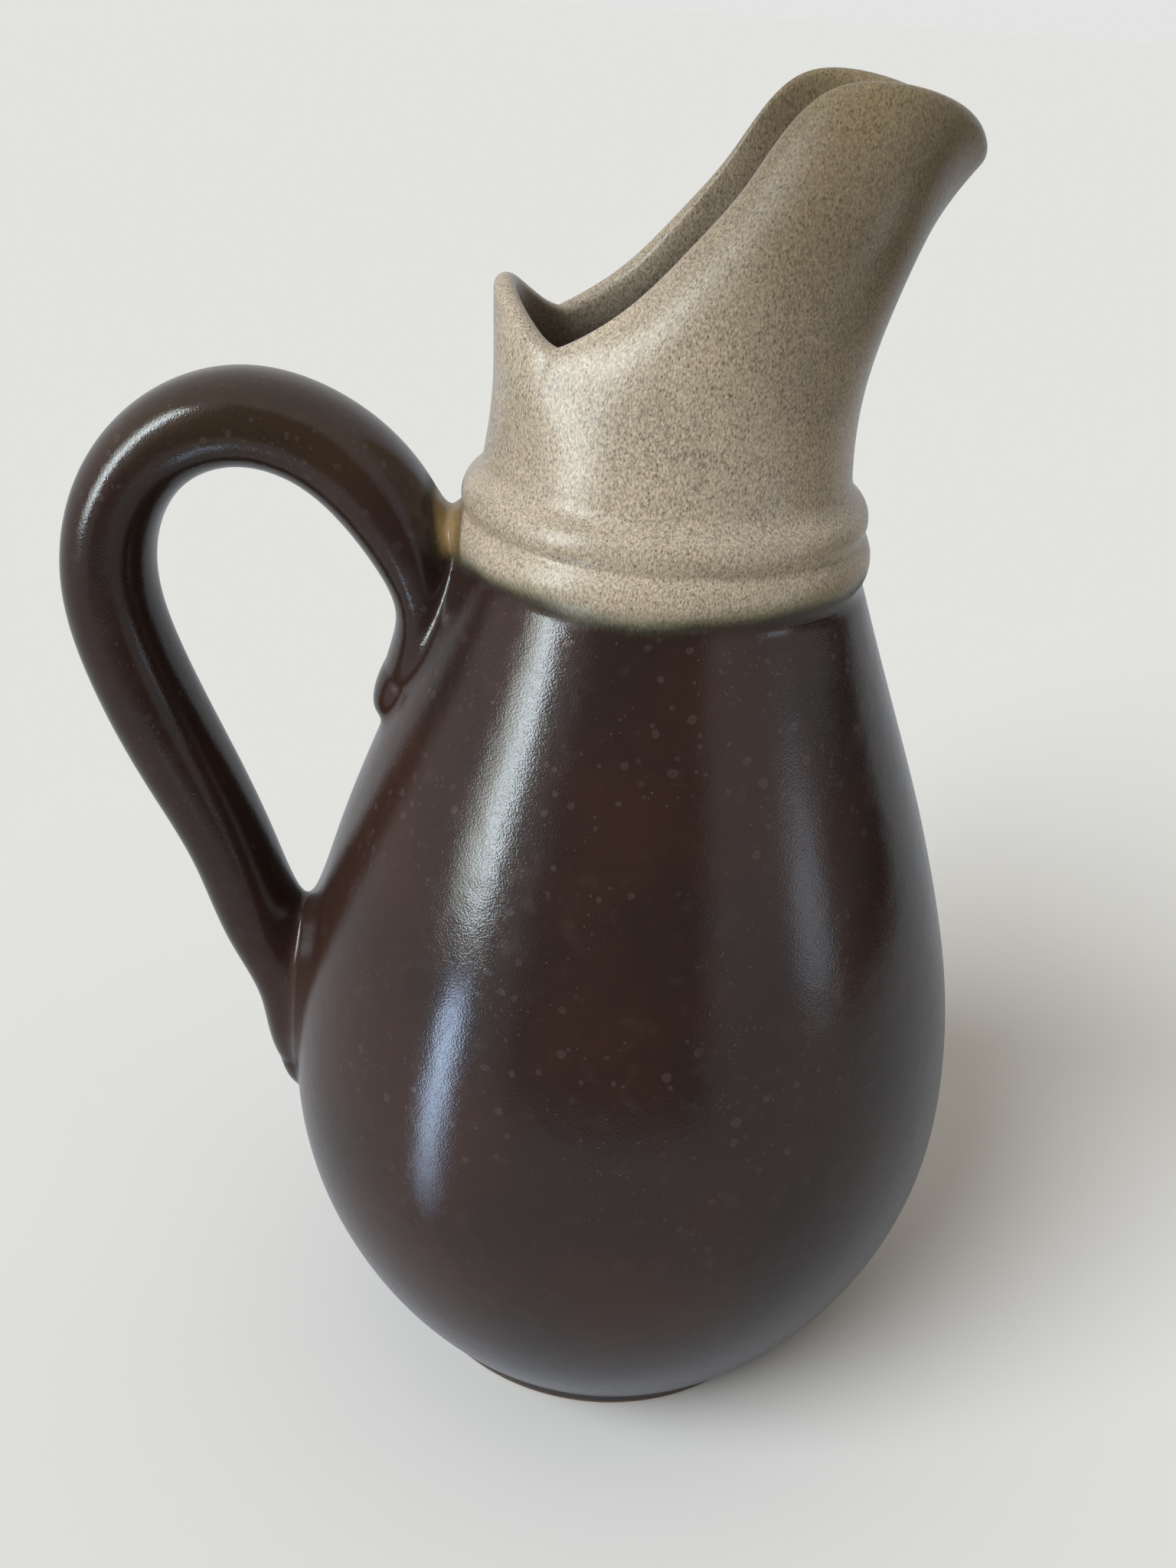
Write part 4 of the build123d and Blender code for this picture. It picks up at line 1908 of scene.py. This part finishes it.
@dataclass
class Studio:
    """Plain floor, soft light and the camera. All is in metres but the camera's eye.

    The low card is given by the middles of its top and bottom edges and by half its width. Its sides and ends
    hold the soft steps by which it fades in and out.
    """

    floor_size: float = 40.0
    floor_colour: Colour = (0.865, 0.88, 0.90)
    floor_bounce: Colour = (0.57, 0.53, 0.46)
    floor_mirrored: Colour = (0.58, 0.62, 0.69)
    floor_roughness: float = 0.9
    backdrop: Colour = (0.775, 0.775, 0.77)
    reflected: Tuple[Colour, Colour] = ((0.64, 0.645, 0.65), (0.62, 0.65, 0.70))
    reflected_turn: Pair = (-0.2, 0.7)
    fill: Colour = (0.082, 0.072, 0.057)
    cards: Tuple[Card, ...] = (
        Card("window", (-0.337, -0.215, 0.265), (0.0, 0.0, 0.14), (0.045, 0.33), 1.34, (0.82, 0.94, 1.0)),
        Card("window_side", (-0.362, -0.169, 0.265), (0.0, 0.0, 0.14), (0.06, 0.33), 0.57, (0.91, 1.0, 0.95)),
        Card("right_card", (0.535, -0.272, 0.12), (0.0, 0.0, 0.12), (0.12, 0.15), 0.15, (0.66, 0.83, 1.0)),
    )
    suns: Tuple[Sun, ...] = (
        Sun("key", (-0.766, -0.643, 0.78), 2.65, 40.0, (0.97, 1.0, 1.0)),
        Sun("overhead", (-0.1, 0.1, 1.0), 0.95, 110.0, (1.0, 0.93, 0.82)),
    )
    dark_cards: Tuple[Tuple[Place, ...], ...] = (
        ((-0.25, -0.32, 0.0), (0.163, -0.366, 0.0), (0.163, -0.366, 0.6), (-0.25, -0.32, 0.6)),
        ((0.50, -0.17, 0.002), (0.50, 0.16, 0.002), (0.50, 0.16, 0.110), (0.50, -0.17, 0.055)),
        ((0.869, -0.233, 0.09), (0.795, 0.42, 0.09), (0.795, 0.42, 0.22), (0.869, -0.233, 0.16)),
    )
    cloth: Tuple[Colour, Colour] = ((0.012, 0.011, 0.011), (0.022, 0.021, 0.021))
    cloth_roughness: float = 0.95
    weave_per_metre: float = 400.0
    low_card: Tuple[Place, ...] = ((-0.0857, -0.0770, 0.0905), (-0.0603, -0.0630, 0.0240), (0.0014, 0.0081, 0.0022))
    low_sides: Tuple[Pair, Pair] = ((0.0, 0.4), (0.6, 1.0))
    low_ends: Tuple[Pair, Pair] = ((-0.1, 0.85), (0.88, 1.0))
    low_colour: Colour = (0.55, 0.73, 1.0)
    low_strength: float = 25.0
    eye: Place = (0.0, -228.48, 225.16)
    jug_turn: float = 4.0
    yaw: float = -2.18
    pitch: float = 27.53
    roll: float = 4.0
    focal_pixels: float = 2000.0
    image_height: float = 2048.0
    sensor: float = 36.0
    clip: Pair = (0.01, 50.0)

    def build(self) -> None:
        """Set up the floor, the lights, the world and the camera."""
        self._floor()
        self._dark_cards()
        self._low_card()
        self._lights()
        self._world()
        self._camera()
        bpy.context.scene.view_settings.view_transform = "Standard"

    @staticmethod
    def _staged(
        name: str, corners: Sequence[Sequence[float]], material: bpy.types.Material, unseen_by: Sequence[str] = ()
    ) -> bpy.types.Mesh:
        """Four-sided faces that belong to the studio.

        Args:
            name: Name of the object.
            corners: Places in metres, four for each face.
            material: Its material.
            unseen_by: Kinds of rays that pass it by.

        Returns:
            The mesh.
        """
        mesh = bpy.data.meshes.new(name)
        mesh.from_pydata([tuple(corner) for corner in corners], [], np.arange(len(corners)).reshape(-1, 4).tolist())
        mesh.materials.append(material)
        staged = placed(name, mesh)
        for rays in unseen_by:
            setattr(staged, f"visible_{rays}", False)
        return mesh

    def _floor(self) -> None:
        """A pale floor, which throws less light back at the jug than it shows."""
        material, bench = blank_material("pale_floor")
        rays = bench.add("ShaderNodeLightPath")
        colour = bench.blend(rays.other("Is Glossy Ray"), self.floor_bounce, self.floor_mirrored)
        colour = bench.blend(rays.other("Is Camera Ray"), colour, self.floor_colour)
        bench.surface({"Base Color": colour, "Roughness": self.floor_roughness, "Specular IOR Level": 0.0})
        half = self.floor_size / 2
        corners = [(-half, -half, 0.0), (half, -half, 0.0), (half, half, 0.0), (-half, half, 0.0)]
        self._staged("floor", corners, material)

    def _dark_cards(self) -> None:
        """Dark cards round the jug, seen only in the glaze."""
        material, bench = blank_material("dark_cloth")
        weave = bench.noise(bench.add("ShaderNodeTexCoord", output="Object"), self.weave_per_metre)
        bench.surface({"Base Color": bench.blend(weave, *self.cloth), "Roughness": self.cloth_roughness})
        corners = [corner for card in self.dark_cards for corner in card]
        self._staged("dark_cards", corners, material, ("camera", "diffuse", "transmission", "shadow"))

    def _low_card(self) -> None:
        """A low bluish card beside the jug, dimmer downwards and at its edges, seen only in the glaze."""
        material, bench = blank_material("soft_card")
        side, rise, _ = bench.axes(bench.add("ShaderNodeTexCoord", output="UV"))
        (left, right), (bottom_end, top_end) = self.low_sides, self.low_ends
        soft = side.step(*left) * (1 - side.step(*right)) * rise.step(*bottom_end) * (1 - rise.step(*top_end))
        glow = bench.blend(soft, BLACK, self.low_colour)
        bench.surface({"Base Color": (*BLACK, 1.0), "Emission Color": glow, "Emission Strength": self.low_strength})
        top, bottom, half = (np.array(place) for place in self.low_card)
        corners = [bottom - half, bottom + half, top + half, top - half]
        mesh = self._staged("low_card", corners, material, ("camera", "diffuse", "shadow"))
        mesh.uv_layers.new(name="card").data.foreach_set("uv", [0, 0, 1, 0, 1, 1, 0, 1])

    def _lights(self) -> None:
        """Even light from the upper left and from above, and bright cards that only the glaze mirrors."""
        for card in self.cards:
            light = self._lamp("AREA", card)
            light.data.shape = "RECTANGLE"
            light.data.size, light.data.size_y = card.size
            light.visible_camera = light.visible_diffuse = False
        for sun in self.suns:
            light = self._lamp("SUN", sun)
            light.data.angle = math.radians(sun.width)
            light.visible_glossy = False

    @staticmethod
    def _lamp(kind: str, given: Union[Card, Sun]) -> bpy.types.Object:
        """A lamp that points at its target.

        Args:
            kind: Type of the lamp.
            given: Its name, place, target, power and colour.

        Returns:
            The lamp.
        """
        lamp = bpy.data.lights.new(given.name, kind)
        lamp.energy = given.power
        lamp.color = given.colour
        back = np.array(given.place) - np.array(given.target)
        back /= np.linalg.norm(back)
        right = np.cross((0.0, 0.0, 1.0), back)
        right /= np.linalg.norm(right)
        light = placed(given.name, lamp)
        light.matrix_world = pose(np.column_stack([right, np.cross(back, right), back]), given.place)
        return light

    def _world(self) -> None:
        """Weak light from all round, a paler room for the glaze to mirror, and a plain backdrop."""
        world = bpy.data.worlds.new("room")
        bpy.context.scene.world = world
        world.use_nodes = True
        world.node_tree.nodes.clear()
        bench = Bench(world.node_tree)
        right, _, _ = bench.axes(bench.add("ShaderNodeTexCoord", output="Generated"))
        rays = bench.add("ShaderNodeLightPath")
        mirrored = rays.other("Is Glossy Ray").apply("MAXIMUM", rays.other("Is Transmission Ray"))
        colour = bench.blend(mirrored, self.fill, bench.blend(right.step(*self.reflected_turn), *self.reflected))
        colour = bench.blend(rays.other("Is Camera Ray"), colour, self.backdrop)
        light = bench.add("ShaderNodeBackground", None, {"Color": colour, "Strength": 1.0})
        bench.add("ShaderNodeOutputWorld", None, {"Surface": light})

    def _camera(self) -> None:
        """The camera, at the photograph's place relative to the jug."""
        lens = bpy.data.cameras.new("camera")
        lens.sensor_width = self.sensor
        lens.lens = self.focal_pixels * self.sensor / self.image_height
        lens.clip_start, lens.clip_end = self.clip
        yaw, pitch, roll, turn = (math.radians(a) for a in (self.yaw, self.pitch, self.roll, -self.jug_turn))
        ahead = np.array([math.sin(yaw) * math.cos(pitch), math.cos(yaw) * math.cos(pitch), -math.sin(pitch)])
        level = np.array([math.cos(yaw), -math.sin(yaw), 0.0])
        over = np.cross(level, ahead)
        right = level * math.cos(roll) + over * math.sin(roll)
        up = over * math.cos(roll) - level * math.sin(roll)
        about = np.array([[math.cos(turn), -math.sin(turn), 0], [math.sin(turn), math.cos(turn), 0], [0, 0, 1]])
        camera = placed("camera", lens)
        camera.matrix_world = pose(about @ np.column_stack([right, up, -ahead]), about @ (np.array(self.eye) * MM))
        bpy.context.scene.camera = camera


def main() -> None:
    """Build the jug's pieces in order, then the studio."""
    logging.basicConfig(level=logging.INFO, format="%(name)s: %(message)s")
    shop = Workshop()
    form = VesselForm()
    pieces = [part.build(shop) for part in (FootRing(), Body(form), Collar(form), Spout(form))]
    for piece in pieces + Handle(form).build(shop):
        log.info("%s: %d faces", piece.name, len(piece.data.polygons))
    Studio().build()


if __name__ == "__main__":
    main()
